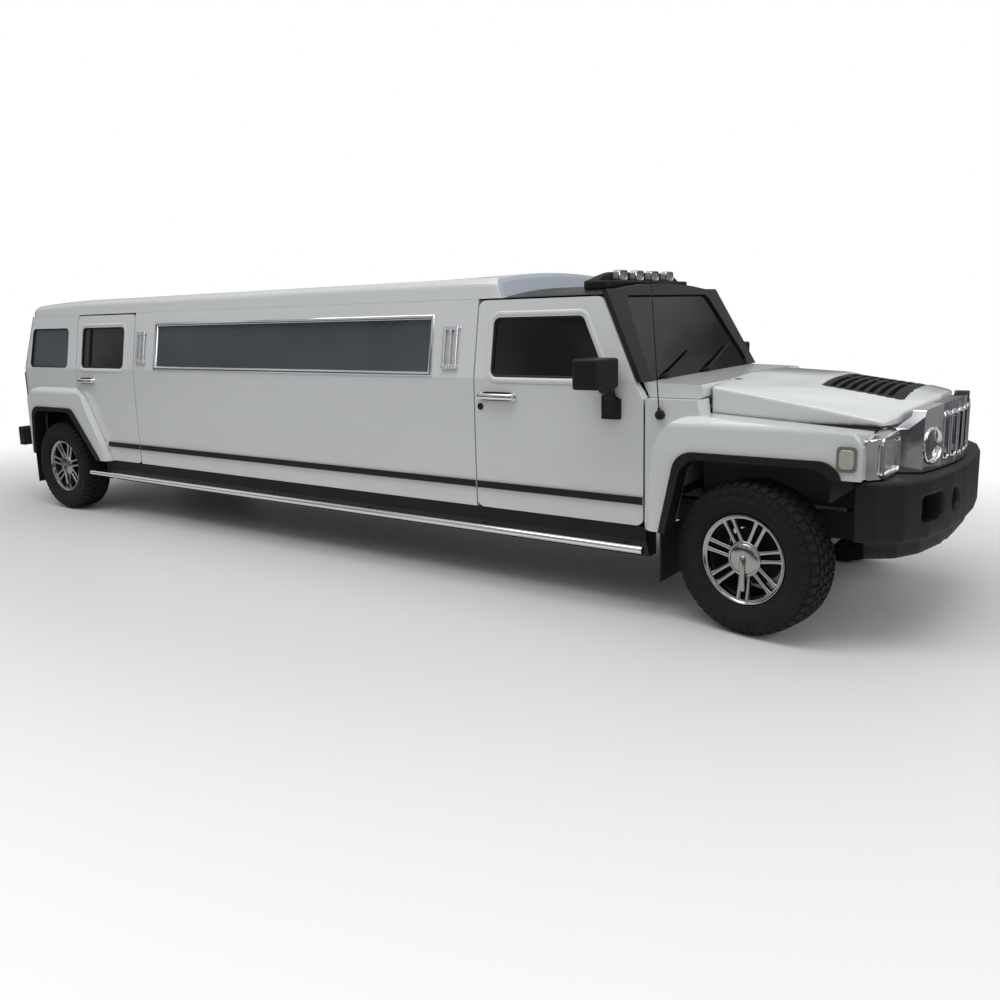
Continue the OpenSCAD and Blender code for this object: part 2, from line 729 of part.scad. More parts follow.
// Chrome front: seven slots between round lamps, and oblong lamps in the outer bays
grille_z0 = 846;
grille_t = 60;
slot_count = 7;
slot_pitch = 104;
slot_w = 60;
slot_z = [890, 1112];
round_lamp = [456, 966, 78];
oblong_lamp = [body_w / 2 - 156, 942, 214, 150];
// Plan as [ahead of the axle, half width], front view as [half width, height]
front_plan = [[530, body_w / 2 + 28], [585, body_w / 2 - 40], [602, body_w / 2 - 276], [705, body_w / 2 - 318],
    [752, body_w / 2 - 506], [783, 160], [790, 40]];
front_view = [[body_w / 2 + 28, 1036], [body_w / 2 - 292, 1056], [body_w / 2 - 332, 1146], [body_w / 2 - 506, 1164],
    [40, 1172]];
function flip(list) = [for (p = list) [p[0], -p[1]]];
function swap(list) = [for (p = list) [-p[0], p[1]]];
module front_plan_2d(out, depth) {
    face = [for (p = front_plan) [fa + p[0] + out, p[1]]];
    back = [for (p = front_plan) [max(fa + p[0] + out - depth, fender_x0 + seat_gap), p[1]]];
    polygon(concat(face, reversed(flip(face)), flip(back), reversed(back)));
}
module front_view_2d() {
    half = concat([[body_w / 2 + 28, grille_z0]], front_view);
    rounded(14) polygon(concat(half, reversed(swap(half))));
}
module round_lamp_2d(grow = 0) { translate([round_lamp[0], round_lamp[1]]) circle(r = round_lamp[2] + grow); }
module oblong_lamp_2d(grow = 0) {
    translate([oblong_lamp[0], oblong_lamp[1]]) offset(delta = grow) rounded(16)
        square([oblong_lamp[2], oblong_lamp[3]], center = true);
}
module grille() {
    far = fa + 400;
    color(chrome) difference() {
        intersection() {
            along_z(grille_z0, hood_top_z) front_plan_2d(0, grille_t);
            along_x(far, nose_x) front_view_2d();
        }
        for (i = [0 : slot_count - 1]) along_x(far, nose_x) translate([(i - (slot_count - 1) / 2) * slot_pitch, 0])
            rounded(slot_w / 2 - 1) polygon([[-slot_w / 2, slot_z[0]], [slot_w / 2, slot_z[0]],
                [slot_w / 2, slot_z[1]], [-slot_w / 2, slot_z[1]]]);
        both() along_x(far, nose_x) {
            round_lamp_2d();
            oblong_lamp_2d();
        }
    }
}
turn_lamp = [455, 946, 90, 120];
module front_lamps() {
    color([0.9, 0.92, 0.95]) {
        both() {
            intersection() {
                along_z(grille_z0, hood_top_z) front_plan_2d(-22, grille_t - 24);
                along_x(fa, nose_x) {
                    round_lamp_2d(-seat_gap);
                    oblong_lamp_2d(-seat_gap);
                }
            }
            along_y(flare_y, flare_y + 10) translate([fa + turn_lamp[0], turn_lamp[1]]) rounded(18)
                square([turn_lamp[2], turn_lamp[3]], center = true);
        }
        for (y = roof_lamp_ys) translate([light_bar_x - 20, y, roof_lamp_z]) rotate([0, 90, 0])
            linear_extrude(34) rounded(18) square([roof_lamp_h, 110], center = true);
    }
}

// Front bumper
// Plan as [behind the nose, half width]
bumper_plan = [[364, body_w / 2 + 39], [260, body_w / 2 + 14], [150, body_w / 2 - 66], [70, body_w / 2 - 226],
    [20, body_w / 2 - 466], [0, 150]];
bumper_lip_z = 545;
bumper_tuck = 45;
bumper_deep = 90;
bumper_pocket = [590, 690, 190, 130];
bumper_eye = [330, 690, 60];
module bumper_2d(grow = 0) {
    face = [for (p = bumper_plan) [nose_x - p[0], p[1]]];
    back = [[face[0][0], 800], [face[0][0] + bumper_deep, 700]];
    offset(delta = grow) rounded(30)
        polygon(concat(face, reversed(flip(face)), flip(back), reversed(back)));
}
module front_bumper() {
    color(trim_black) difference() {
        union() {
            along_z(bumper_lip_z, bumper_z1) bumper_2d();
            along_z(bumper_z0, bumper_lip_z + 1) bumper_2d(-bumper_tuck);
        }
        both() along_x(nose_x - 190, nose_x + 10) translate([bumper_pocket[0], bumper_pocket[1]]) rounded(20)
            square([bumper_pocket[2], bumper_pocket[3]], center = true);
        both() along_x(nose_x - 90, nose_x + 10) translate([bumper_eye[0], bumper_eye[1]]) circle(r = bumper_eye[2]);
        block([fa - 10, -rail_y - rail_b - 1, 0], [fa + frame_nose, rail_y + rail_b + 1, rail_z1 + 200]);
    }
}
rear_bumper_z = [530, 700];
rear_bumper_d = 130;
module rear_bumper() {
    color(trim_black) difference() {
        along_z(rear_bumper_z[0], rear_bumper_z[1]) rounded(60) translate([tail_x - rear_bumper_d, -body_w / 2])
            square([2 * rear_bumper_d, body_w]);
        block([tail_x, -body_w, 0], [tail_x + body_w, body_w, rail_z]);
        block([tail_x - rear_bumper_d - 1, -hitch_w / 2 - seat_gap, 0], [tail_x, hitch_w / 2 + seat_gap, rail_z0 + 10 + hitch_w + seat_gap]);
    }
}

// Black rockers under the sills, and the bright side bars on their arms
rocker_x0 = fa - 604;
rocker_x1 = ra + rear_arch[3] + 20;
rocker_z0 = 305;
rocker_top = sill_z - 8;
module rocker_panels() {
    sill_low = floor_z + floor_t - sill_h;
    color(trim_black) both() along_x(rocker_x1, rocker_x0) polygon([[floor_y - 60, sill_low], [floor_y, sill_low],
        [floor_y, rocker_top], [body_w / 2 - 22, rocker_top], [body_w / 2 - 22, rocker_top - 80],
        [body_w / 2 - 66, rocker_z0], [floor_y - 60, rocker_z0]]);
}
bar_r = 22;
bar_y = body_w / 2 + 66;
bar_z = 374;
bar_arms = 6;
module side_bars() {
    bar_x0 = fa - 580;
    bar_x1 = ra + 456;
    rocker_face = body_w / 2 - 66 + 44 * (bar_z - rocker_z0) / (rocker_top - 80 - rocker_z0);
    color(chrome) both() {
        translate([bar_x1, bar_y, bar_z]) rotate([0, 90, 0]) cylinder(h = bar_x0 - bar_x1, r = bar_r);
        for (i = [0 : bar_arms - 1]) translate([bar_x1 + 350 + i * (bar_x0 - bar_x1 - 500) / (bar_arms - 1),
            rocker_face + 6, bar_z]) rotate([-90, 0, 0]) cylinder(h = bar_y - rocker_face - 6, r = 13);
    }
}

// Black arch lips with the mud flaps hung behind the wheels
flap_t = 8;
flap_w = 280;
flap_z0 = 212;
module arch_trim(cx, arch) {
    difference() {
        along_y(skin_y(sill_z) - 30, lip_y) intersection() {
            arch_2d(cx, arch, -seat_gap);
            translate([cx - 1000, flare_foot_z]) square([2000, 1000]);
        }
        along_y(0, 2 * lip_y) arch_2d(cx, arch, -lip_t);
    }
    flap_x = cx - arch[0] + 8;
    block([flap_x, lip_y - 15 - flap_w, flap_z0], [flap_x + flap_t, lip_y - 15, flare_foot_z + 20]);
}
module arch_trims() {
    color(trim_black) both() {
        difference() {
            arch_trim(fa, front_arch);
            block([fa, 0, 0], [nose_x, lip_y + 1, fender_z0]);
        }
        arch_trim(ra, rear_arch);
    }
}

// Light bar across the cab roof
light_bar_x = fa - 1035;
roof_lamp_ys = [-320, -105, 105, 320];
roof_lamp_z = 1858;
roof_lamp_h = 62;
module light_bar() {
    color(trim_black) difference() {
        along_z(roof_base_z, roof_lamp_z - roof_lamp_h / 2) rounded(60) translate([light_bar_x - 130, -570]) square([180, 1140]);
        along_x(light_bar_x - 300, light_bar_x + 300) cab_section(seat_gap);
    }
}

// Three bright upright bars on each pillar of the stretch
bar_w = 26;
bar_pitch = 46;
bar_len = 270;
module pillar_bars() {
    groups = [panel_x0 - 185, panel_x1 + 105];
    mid = (win_z0 + win_z1) / 2;
    color(chrome) both() for (x = groups, i = [-1, 0, 1])
        translate([x + i * bar_pitch, skin_y(mid) + seat_gap, mid]) rotate([lean_deg, 0, 0])
            rotate([-90, 0, 0]) linear_extrude(14) rounded(10) square([bar_w, bar_len], center = true);
}

// Ladder frame: rails with body mounts and jack pads, and the members between them
rail_in = 526;
rail_y = body_w / 2 - rail_in;
rail_b = 80;
rail_z0 = 440;
rail_z1 = 570;
frame_nose = 640;
crossers = 6;
mounts = 6;
pad_r = 45;
pad_t = 12;
pad_hole_r = 15;
pad_hole_l = 40;
pad_back = 1000;
pad_xs = [fa - pad_back, ra + pad_back];
hitch = 50.8;
hitch_w = 76;
module frame_rails() {
    mid = rail_y + rail_b / 2;
    color([0.1, 0.1, 0.1]) both() difference() {
        union() {
            block([tail_x, rail_y, rail_z0], [fa + frame_nose, rail_y + rail_b, rail_z1]);
            for (i = [0 : mounts - 1]) translate([fa - 900 - i * (wheelbase - 700) / (mounts - 1), mid, rail_z1 - 1])
                cylinder(h = floor_z - rail_z1 + 1, r = 38);
            for (x = pad_xs) translate([x, mid, rail_z0 - pad_t]) cylinder(h = pad_t + 1, r = pad_r);
        }
        for (x = pad_xs) translate([x, mid, rail_z0 - pad_t - 1]) cylinder(h = pad_hole_l + 1, r = pad_hole_r);
    }
}
module cross_members() {
    color([0.1, 0.1, 0.1]) {
        for (i = [0 : crossers - 1]) translate([fa - 1400 - i * (wheelbase - 1000) / (crossers - 1), 0, 0])
            block([-40, -rail_y, rail_z0 + 60], [40, rail_y, rail_z1 - 5]);
        block([fa + 480, -rail_y, rail_z0], [fa + 560, rail_y, rail_z1 - 20]);
        difference() {
            union() {
                block([tail_x, -rail_y, rail_z0], [tail_x + 70, rail_y, rail_z1 - 20]);
                block([tail_x - 120, -hitch_w / 2, rail_z0 + 10], [tail_x + 10, hitch_w / 2, rail_z0 + 10 + hitch_w]);
            }
            block([tail_x - 121, -hitch / 2, rail_z0 + 10 + (hitch_w - hitch) / 2],
                [tail_x + 5, hitch / 2, rail_z0 + 10 + (hitch_w + hitch) / 2]);
        }
    }
}

// Engine with gearbox, and the shaft to the rear axle
wheel_z = tyre_d / 2;
shaft_r = 38;
module powertrain() {
    shaft_x0 = fa - 1300;
    shaft_x1 = ra + 210;
    color(steel) {
        block([fa - 520, 80 - rail_y, rail_z1 + 15], [fa + 200, rail_y - 80, 1010]);
        block([fa - 560, 140 - rail_y, 470], [fa - 300, rail_y - 140, rail_z1 + 16]);
        block([fa - 1300, 200 - rail_y, 400], [fa - 540, rail_y - 200, rail_z1 + 10]);
        translate([shaft_x1, 0, wheel_z + 30]) rotate([0, 90, 0]) cylinder(h = shaft_x0 - shaft_x1 + 5, r = shaft_r);
        both() block([fa - 60, rail_y - 90, rail_z1], [fa + 20, rail_y + 40, rail_z1 + 40]);
    }
}
module fuel_tank() {
    color(trim_black) along_x(fa - 4200, fa - 3000) rounded(30) translate([rail_y + rail_b, 350])
        square([floor_y - sill_w - rail_y - rail_b - 12, 230]);
}
pipe_r = 30;
module exhaust() {
    pipe_y = -(rail_y + rail_b + 90);
    color(steel) {
        translate([tail_x + 120, pipe_y, 530]) rotate([0, 90, 0]) cylinder(h = fa - 900 - tail_x - 120, r = pipe_r);
        translate([ra + 1100, pipe_y, 530]) rotate([0, 90, 0]) cylinder(h = 620, r = 62);
        for (x = [fa - 1500, fa - 3400, ra + 800, tail_x + 260])
            block([x - 15, pipe_y, 522], [x + 15, -rail_y - rail_b, 538]);
    }
}

// Rear axle on leaf springs
stub_r = 30;
stub_reach = 30;
stub_end = track / 2 + stub_reach;
leaf_span = 1180;
module rear_axle() {
    axle_y = track / 2 - rim_w / 2 - 30;
    color(steel) {
        translate([ra, -axle_y, wheel_z]) rotate([-90, 0, 0]) cylinder(h = 2 * axle_y, r = 42);
        translate([ra, -stub_end, wheel_z]) rotate([-90, 0, 0]) cylinder(h = 2 * stub_end, r = stub_r);
        translate([ra, 0, wheel_z]) sphere(r = 140);
        translate([ra, 0, wheel_z + 30]) rotate([0, 90, 0]) cylinder(h = 210 - seat_gap, r = 60);
        both() {
            block([ra - leaf_span / 2, rail_y + 10, rail_z0 - 24], [ra + leaf_span / 2, rail_y + 70, rail_z0]);
            block([ra - 60, rail_y + 5, wheel_z - 60], [ra + 60, rail_y + 75, rail_z0 - 12]);
        }
    }
}

// Front suspension arms with their king pins, and the knuckles they carry
king_in = 65;
king_y = track / 2 - king_in;
king_r = 12;
arm_zs = [wheel_z - 120, wheel_z + 120];
arm_h = 30;
module front_suspension() {
    color(steel) both() {
        for (z = arm_zs) {
            along_z(z - arm_h / 2, z + arm_h / 2) polygon([[fa - 24, king_y], [fa + 24, king_y],
                [fa + 110, rail_y + rail_b], [fa - 110, rail_y + rail_b]]);
            translate([fa, king_y, z - arm_h / 2]) cylinder(h = arm_h, r = 28);
        }
        translate([fa, king_y, arm_zs[0]]) cylinder(h = 55, r = king_r);
        translate([fa, king_y, arm_zs[1] - 55]) cylinder(h = 55, r = king_r);
        block([fa - 120, rail_y + rail_b - 20, arm_zs[0] - 25], [fa + 120, rail_y + rail_b + 10, arm_zs[0] + 25]);
        block([fa - 120, rail_y + rail_b, arm_zs[1] - 25], [fa + 120, rail_y + rail_b + 20, arm_zs[1] + 25]);
        block([fa - 120, rail_y - 1, arm_zs[0] - 25], [fa + 120, rail_y + rail_b - 10, rail_z0]);
    }
    color(steel) block([fa - 120, -rail_y, arm_zs[0] - 25], [fa + 120, rail_y, arm_zs[0] + 25]);
}
module steered(s) {
    translate([fa, s * king_y, 0]) rotate([0, 0, -parked_steer]) translate([0, s * king_in, wheel_z]) children();
}
module knuckle(s) {
    gap = 4;
    half = (arm_zs[1] - arm_zs[0] - arm_h) / 2 - gap;
    color(steel) steered(s) on_side(s) difference() {
        union() {
            translate([-34, -king_in - 34, -half]) cube([68, 68, 2 * half]);
            translate([0, -king_in, 0]) rotate([-90, 0, 0]) cylinder(h = king_in + stub_reach, r = stub_r);
            translate([0, -king_in, 0]) rotate([-90, 0, 0]) cylinder(h = king_in - disc_in - 3, r = 60);
        }
        for (z = [-half - 1, half - 46]) translate([0, -king_in, z]) cylinder(h = 47, r = king_r + run_gap);
    }
}

// Wheels, turning about y, outer face to +y
rim_t = 12;
bead_r = rim_d / 2 - 22;
cap_r = 94;
hub_r = 72;
disc_r = 150;
disc_in = 30;
spoke_in = 64;
spoke_t = 38;
lever_w = 32;
lever_l = 172;
tread_t = 30;
bead_y = rim_w / 2 - rim_t - seat_gap;
bead_w = 24;
// Half of the tyre's section as [radius, offset]: outside from bead to tread, then back inside
tyre_out = [[bead_r + seat_gap, bead_y], [rim_d / 2 + seat_gap, bead_y], [rim_d / 2 + 8, rim_w / 2 + 4],
    [tyre_d / 2 - 95, tyre_w / 2], [tyre_d / 2 - 55, tyre_w / 2 - 3], [tyre_d / 2 - 18, tyre_w / 2 - 14],
    [tyre_d / 2, tyre_w / 2 - 36]];
tyre_in = [[tyre_d / 2 - tread_t, tyre_w / 2 - 50], [tyre_d / 2 - 90, tyre_w / 2 - 18],
    [rim_d / 2 + 12, bead_y - bead_w + 12], [bead_r + seat_gap, bead_y - bead_w]];
module tyre() {
    color([0.09, 0.09, 0.09]) rotate([-90, 0, 0]) rotate_extrude($fn = 96)
        polygon(concat(tyre_out, reversed(flip(tyre_out)), reversed(flip(tyre_in)), tyre_in));
}
module spokes_2d() {
    difference() {
        union() for (i = [0 : spoke_pairs - 1], side = [-1, 1]) rotate(i * 360 / spoke_pairs)
            polygon([[side * 4, spoke_in], [side * 44, spoke_in], [side * 40, bead_r - rim_t / 2],
                [side * 13, bead_r - rim_t / 2]]);
        circle(r = spoke_in + 1);
    }
}
module rim() {
    face = rim_w / 2 - 20;
    bore_r = stub_r + run_gap;
    hub = [[bore_r, -disc_in], [disc_r, -disc_in], [disc_r, 16 - disc_in], [hub_r, 16 - disc_in],
        [hub_r, face - 30], [cap_r, face - 30], [cap_r, face + 2], [cap_r - 16, face + 12], [0, face + 12],
        [0, stub_reach + 4], [bore_r, stub_reach + 4]];
    barrel = [[bead_r - rim_t, -rim_w / 2], [rim_d / 2, -rim_w / 2], [rim_d / 2, -rim_w / 2 + rim_t],
        [bead_r, -rim_w / 2 + rim_t], [bead_r, rim_w / 2 - rim_t], [rim_d / 2, rim_w / 2 - rim_t],
        [rim_d / 2, rim_w / 2], [bead_r - rim_t, rim_w / 2]];
    color(chrome) {
        rotate([-90, 0, 0]) rotate_extrude($fn = 96) polygon(barrel);
        rotate([-90, 0, 0]) rotate_extrude($fn = 96) polygon(hub);
        translate([0, face - spoke_t, 0]) rotate([-90, 0, 0]) linear_extrude(spoke_t) spokes_2d();
        translate([-lever_w / 2, face - 5, -lever_l]) cube([lever_w, 26, lever_l]);
    }
}
module at_wheel(i) {
    s = i % 2 == 0 ? 1 : -1;
    if (i < 2) steered(s) on_side(s) children();
    else translate([ra, s * track / 2, wheel_z]) on_side(s) children();
}
spare_z = 1110;
module spare_place() { translate([tail_x - spare_stand - tyre_w / 2, 0, spare_z]) rotate([0, 0, 90]) children(); }
module spare_tyre() { spare_place() tyre(); }
module spare_rim() { spare_place() rim(); }

// Mirror on the front door: foot, arm and head
mirror_back = 126;
mirror_z = [1246, 1408];
mirror_w = 215;
mirror_deep = 205;
foot_z = [1080, 1190];
module mirror_head(s) {
    x0 = front_door_x0 - mirror_back;
    foot_y = skin_y(foot_z[0]) + seat_gap;
    head_y = body_w / 2 + 28;
    color(trim_black) on_side(s) {
        intersection() {
            along_z(mirror_z[0], mirror_z[1]) rounded(30) polygon([[x0 + 10, head_y], [x0 - 20, head_y + mirror_w],
                [x0 - mirror_deep + 30, head_y + mirror_w], [x0 - mirror_deep, head_y + 20], [x0 - 70, head_y]]);
            along_y(head_y - 1, head_y + mirror_w + 1) rounded(24) polygon([[x0 + 10, mirror_z[0]],
                [x0 + 10, mirror_z[1]], [x0 - mirror_deep, mirror_z[1]], [x0 - mirror_deep, mirror_z[0]]]);
        }
        along_x(x0 - 95, x0 - 25) polygon([[foot_y, foot_z[0]], [foot_y + 16, foot_z[0]], [foot_y + 30, foot_z[1]],
            [head_y + 70, mirror_z[0] - 20], [head_y + 70, mirror_z[0] + 10], [head_y + 10, mirror_z[0] + 10],
            [foot_y + 2, foot_z[1]], [foot_y, foot_z[1]]]);
    }
}

// Seats: two in front, and a bench along one side and across the back
seat_z = 640;
module seats() {
    bench_x0 = front_door_x1 - 500;
    bench_x1 = ra + 530;
    color([0.1, 0.1, 0.1]) {
        both() {
            block([front_door_x0 - 1000, 150, floor_z + floor_t], [front_door_x0 - 480, floor_y - 124, 940]);
            along_y(150, floor_y - 124) polygon([[front_door_x0 - 870, 930], [front_door_x0 - 990, 1560],
                [front_door_x0 - 1090, 1560], [front_door_x0 - 990, 930]]);
        }
        block([bench_x1, 200, floor_z + floor_t], [bench_x0, floor_y - sill_w - 1, 1000]);
        block([bench_x1, floor_y - post_t - 100, 990], [bench_x0, floor_y - post_t - 4, 1250]);
    }
}
module dashboard() {
    color(trim_black) {
        along_y(-floor_y + post_t + 6, floor_y - post_t - 6) rounded(40) polygon([[bulkhead_x - bulkhead_t, 820],
            [bulkhead_x - bulkhead_t, 1180], [bulkhead_x - 330, 1150], [bulkhead_x - 380, 1050], [bulkhead_x - 300, 820]]);
        translate([bulkhead_x - 470, 400, 1170]) rotate([0, -65, 0]) {
            rotate_extrude() translate([180, 0]) circle(r = 16);
            cylinder(h = 30, r = 60, center = true);
            for (a = [0, 120, 240]) rotate([0, 0, a]) translate([40, -15, -8]) cube([145, 30, 16]);
            translate([0, 0, -160]) cylinder(h = 160, r = 30);
        }
    }
}

frame_rails();
cross_members();
floor_pan();
stretch_panels();
rear_quarters();
roof();
cab_roof();
cowl();
front_fenders();
grille();
front_lamps();
front_bumper();
rear_bumper();
tail_lamps();
fixed_glass();
rocker_panels();
side_bars();
arch_trims();
light_bar();
pillar_bars();
powertrain();
exhaust();
fuel_tank();
rear_axle();
front_suspension();
seats();
dashboard();
hood();
hood_vent();
front_door(1);  // front_door_left
front_door(-1);  // front_door_right
rear_door(1);  // rear_door_left
rear_door(-1);  // rear_door_right
front_glass(1);  // front_glass_left
front_glass(-1);  // front_glass_right
rear_glass(1);  // rear_glass_left
rear_glass(-1);  // rear_glass_right
mirror_head(1);  // mirror_left
mirror_head(-1);  // mirror_right
tailgate();
tailgate_glass();
spare_tyre();
spare_rim();
knuckle(1);  // knuckle_left
knuckle(-1);  // knuckle_right
at_wheel(0) tyre();  // tyre_front_left
at_wheel(1) tyre();  // tyre_front_right
at_wheel(2) tyre();  // tyre_rear_left
at_wheel(3) tyre();  // tyre_rear_right
at_wheel(0) rim();  // rim_front_left
at_wheel(1) rim();  // rim_front_right
at_wheel(2) rim();  // rim_rear_left
at_wheel(3) rim();  // rim_rear_right
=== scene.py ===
import json
import math

import bpy
from mathutils import Matrix, Vector


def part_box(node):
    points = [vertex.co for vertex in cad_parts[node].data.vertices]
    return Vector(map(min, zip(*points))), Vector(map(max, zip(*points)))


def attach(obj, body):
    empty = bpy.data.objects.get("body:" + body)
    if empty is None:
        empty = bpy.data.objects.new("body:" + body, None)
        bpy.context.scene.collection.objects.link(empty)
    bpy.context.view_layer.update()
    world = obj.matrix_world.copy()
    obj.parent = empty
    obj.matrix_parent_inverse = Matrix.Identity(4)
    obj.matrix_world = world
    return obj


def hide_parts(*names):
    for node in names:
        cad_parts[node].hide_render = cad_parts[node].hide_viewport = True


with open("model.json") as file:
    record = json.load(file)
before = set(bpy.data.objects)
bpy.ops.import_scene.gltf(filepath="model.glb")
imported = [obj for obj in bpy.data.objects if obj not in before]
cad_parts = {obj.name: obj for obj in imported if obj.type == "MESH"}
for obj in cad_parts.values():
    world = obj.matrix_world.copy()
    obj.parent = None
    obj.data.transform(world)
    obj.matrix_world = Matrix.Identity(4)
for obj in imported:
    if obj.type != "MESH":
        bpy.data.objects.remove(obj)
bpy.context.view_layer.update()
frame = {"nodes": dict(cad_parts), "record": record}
nodes = frame["nodes"]
scene = bpy.context.scene
joints = {j["name"]: j for j in frame["record"]["behaviour"]["joints"]}

# Axles, body sides and door edges, read from the frame
FA = joints["steering_left"]["pos_m"][0]
RA = joints["spin_rear_left"]["pos_m"][0]
HALF_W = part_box("front_door_left")[1][1]
DOOR_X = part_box("front_door_left")[1][0]
SIDES = {"right": -1, "left": 1}

# Belt line, skin and windows of the body
BELT_Z = 1.278
LEAN = 0.077 / 0.457  # inward lean of the upper body, for each metre of height
FACE_Y = HALF_W - 0.001  # outer skin below the belt
LOUNGE_X = (-2.0, 2.0)  # rear quarter windows lie behind the first, the windscreen ahead of the second


def skin_y(z):
    """Half width of the body's outer skin at a height."""
    return FACE_Y if z < BELT_Z else HALF_W - 0.002 - LEAN * (z - BELT_Z)


# Materials
def material(name, color, rough=0.5, metal=0.0, coat=0.0, **more):
    m = bpy.data.materials.new(name)
    m.use_nodes = True
    b = m.node_tree.nodes["Principled BSDF"]
    b.inputs["Base Color"].default_value = (*color, 1.0)
    b.inputs["Roughness"].default_value = rough
    b.inputs["Metallic"].default_value = metal
    b.inputs["Coat Weight"].default_value = coat
    b.inputs["Coat Roughness"].default_value = 0.03
    for key, value in more.items():
        b.inputs[key.replace("_", " ")].default_value = value
    return m


def shader(m):
    return m.node_tree.nodes["Principled BSDF"]


def add(m, kind, **inputs):
    n = m.node_tree.nodes.new(kind)
    for key, value in inputs.items():
        n.inputs[key.replace("_", " ")].default_value = value
    return n


def link(m, out, into):
    m.node_tree.links.new(out, into)


def noise(m, scale, detail=3.0):
    """Noise in metres, on the object's own coordinates."""
    coords = add(m, "ShaderNodeTexCoord")
    n = add(m, "ShaderNodeTexNoise", Scale=scale, Detail=detail)
    link(m, coords.outputs["Object"], n.inputs["Vector"])
    return n.outputs["Fac"]


def spread(m, value, low, high, from_low=0.0, from_high=1.0):
    n = add(m, "ShaderNodeMapRange", From_Min=from_low, From_Max=from_high, To_Min=low, To_Max=high)
    link(m, value, n.inputs["Value"])
    return n.outputs["Result"]


def bumped(m, height, strength, distance):
    b = add(m, "ShaderNodeBump", Strength=strength, Distance=distance)
    link(m, height, b.inputs["Height"])
    link(m, b.outputs["Normal"], shader(m).inputs["Normal"])
    return m


def grain(m, scale, strength, distance, detail=3.0):
    """Fine grain on the surface."""
    return bumped(m, noise(m, scale, detail), strength, distance)


def mottle(m, scale, low, high):
    """Uneven gloss, as real surfaces have."""
    link(m, spread(m, noise(m, scale, 4.0), low, high), shader(m).inputs["Roughness"])
    return m


def dusty(m, clean, dust, scale, amount, low, high):
    """Road dust in patches, thickest low down."""
    coords = add(m, "ShaderNodeTexCoord")
    split = add(m, "ShaderNodeSeparateXYZ")
    link(m, coords.outputs["Object"], split.inputs["Vector"])
    near_road = spread(m, split.outputs["Z"], amount, 0.0, low, high)
    patch = spread(m, noise(m, scale, 6.0), 0.2, 1.0, 0.3, 0.7)
    times = add(m, "ShaderNodeMath")
    times.operation = "MULTIPLY"
    link(m, near_road, times.inputs[0])
    link(m, patch, times.inputs[1])
    mix = add(m, "ShaderNodeMix")
    mix.data_type = "RGBA"
    mix.inputs[6].default_value = (*clean, 1.0)
    mix.inputs[7].default_value = (*dust, 1.0)
    link(m, times.outputs[0], mix.inputs[0])
    link(m, mix.outputs[2], shader(m).inputs["Base Color"])
    return m


def ribbed(m, scale, strength, distance, direction="Y"):
    """Flutes of a moulded lens."""
    coords = add(m, "ShaderNodeTexCoord")
    wave = add(m, "ShaderNodeTexWave", Scale=scale, Distortion=0.0)
    wave.bands_direction = direction
    link(m, coords.outputs["Object"], wave.inputs["Vector"])
    return bumped(m, wave.outputs["Fac"], strength, distance)


WHITE, DUST = (0.755, 0.767, 0.768), (0.46, 0.42, 0.35)
BLACK, DARK_DUST = (0.0075, 0.0068, 0.0060), (0.035, 0.031, 0.026)
LOOK = {
    "white_paint": mottle(material("white_paint", WHITE, 0.3, coat=0.8), 2.0, 0.26, 0.36),
    "gloss_black": mottle(
        material("gloss_black", (0.009, 0.009, 0.011), 0.35, Specular_IOR_Level=0.4), 3.0, 0.3, 0.42),
    "black_trim": mottle(material("black_trim", BLACK, 0.5, Specular_IOR_Level=0.35), 5.0, 0.45, 0.6),
    "chrome": mottle(material("chrome", (0.80, 0.80, 0.82), 0.08, metal=1.0), 6.0, 0.05, 0.13),
    "tinted_glass": mottle(material("tinted_glass", (0.008, 0.010, 0.012), 0.04, Alpha=0.94), 1.5, 0.02, 0.06),
    "clear_lens": material("clear_lens", (0.40, 0.41, 0.40), 0.16, metal=0.2, coat=1.0),
    "red_lens": material("red_lens", (0.42, 0.012, 0.012), 0.12, coat=1.0),
    "chassis_black": mottle(material("chassis_black", (0.016, 0.015, 0.014), 0.6), 8.0, 0.5, 0.75),
    "bare_steel": mottle(material("bare_steel", (0.20, 0.20, 0.20), 0.45, metal=0.9), 12.0, 0.35, 0.55),
    "cast_metal": grain(material("cast_metal", (0.16, 0.16, 0.17), 0.6, metal=0.7), 220, 0.5, 0.002),
    "tyre_rubber": grain(material("tyre_rubber", BLACK, 0.82, Specular_IOR_Level=0.3), 260, 0.3, 0.0008),
    "seat_leather": grain(material("seat_leather", (0.03, 0.03, 0.033), 0.45), 420, 0.35, 0.0010),
    "dash_plastic": grain(material("dash_plastic", (0.03, 0.03, 0.032), 0.55), 700, 0.3, 0.0008),
}
grain(LOOK["white_paint"], 420, 0.03, 0.0003)
dusty(LOOK["white_paint"], WHITE, DUST, 5.0, 0.16, 0.45, 0.95)
grain(LOOK["black_trim"], 900, 0.3, 0.0005)
dusty(LOOK["black_trim"], BLACK, DARK_DUST, 9.0, 0.4, 0.3, 0.9)
dusty(LOOK["tyre_rubber"], BLACK, DARK_DUST, 14.0, 0.4, -0.3, 0.6)
ribbed(LOOK["clear_lens"], 26.0, 0.5, 0.003)
ribbed(LOOK["red_lens"], 30.0, 0.4, 0.002, "Z")
UNDERSEAL = grain(material("underseal", (0.013, 0.012, 0.011), 0.85), 120, 0.5, 0.003)
TURN_LENS = ribbed(material("turn_lens", (0.50, 0.48, 0.40), 0.14, coat=1.0), 40.0, 0.4, 0.002, "Z")
TURN_FRAME = grain(material("turn_frame", (0.20, 0.20, 0.17), 0.25, coat=0.5), 300, 0.2, 0.0005)
DARK_LENS = ribbed(
    material("round_lens", (0.10, 0.10, 0.105), 0.10, metal=0.5, coat=1.0), 18.0, 0.3, 0.002, "Z")
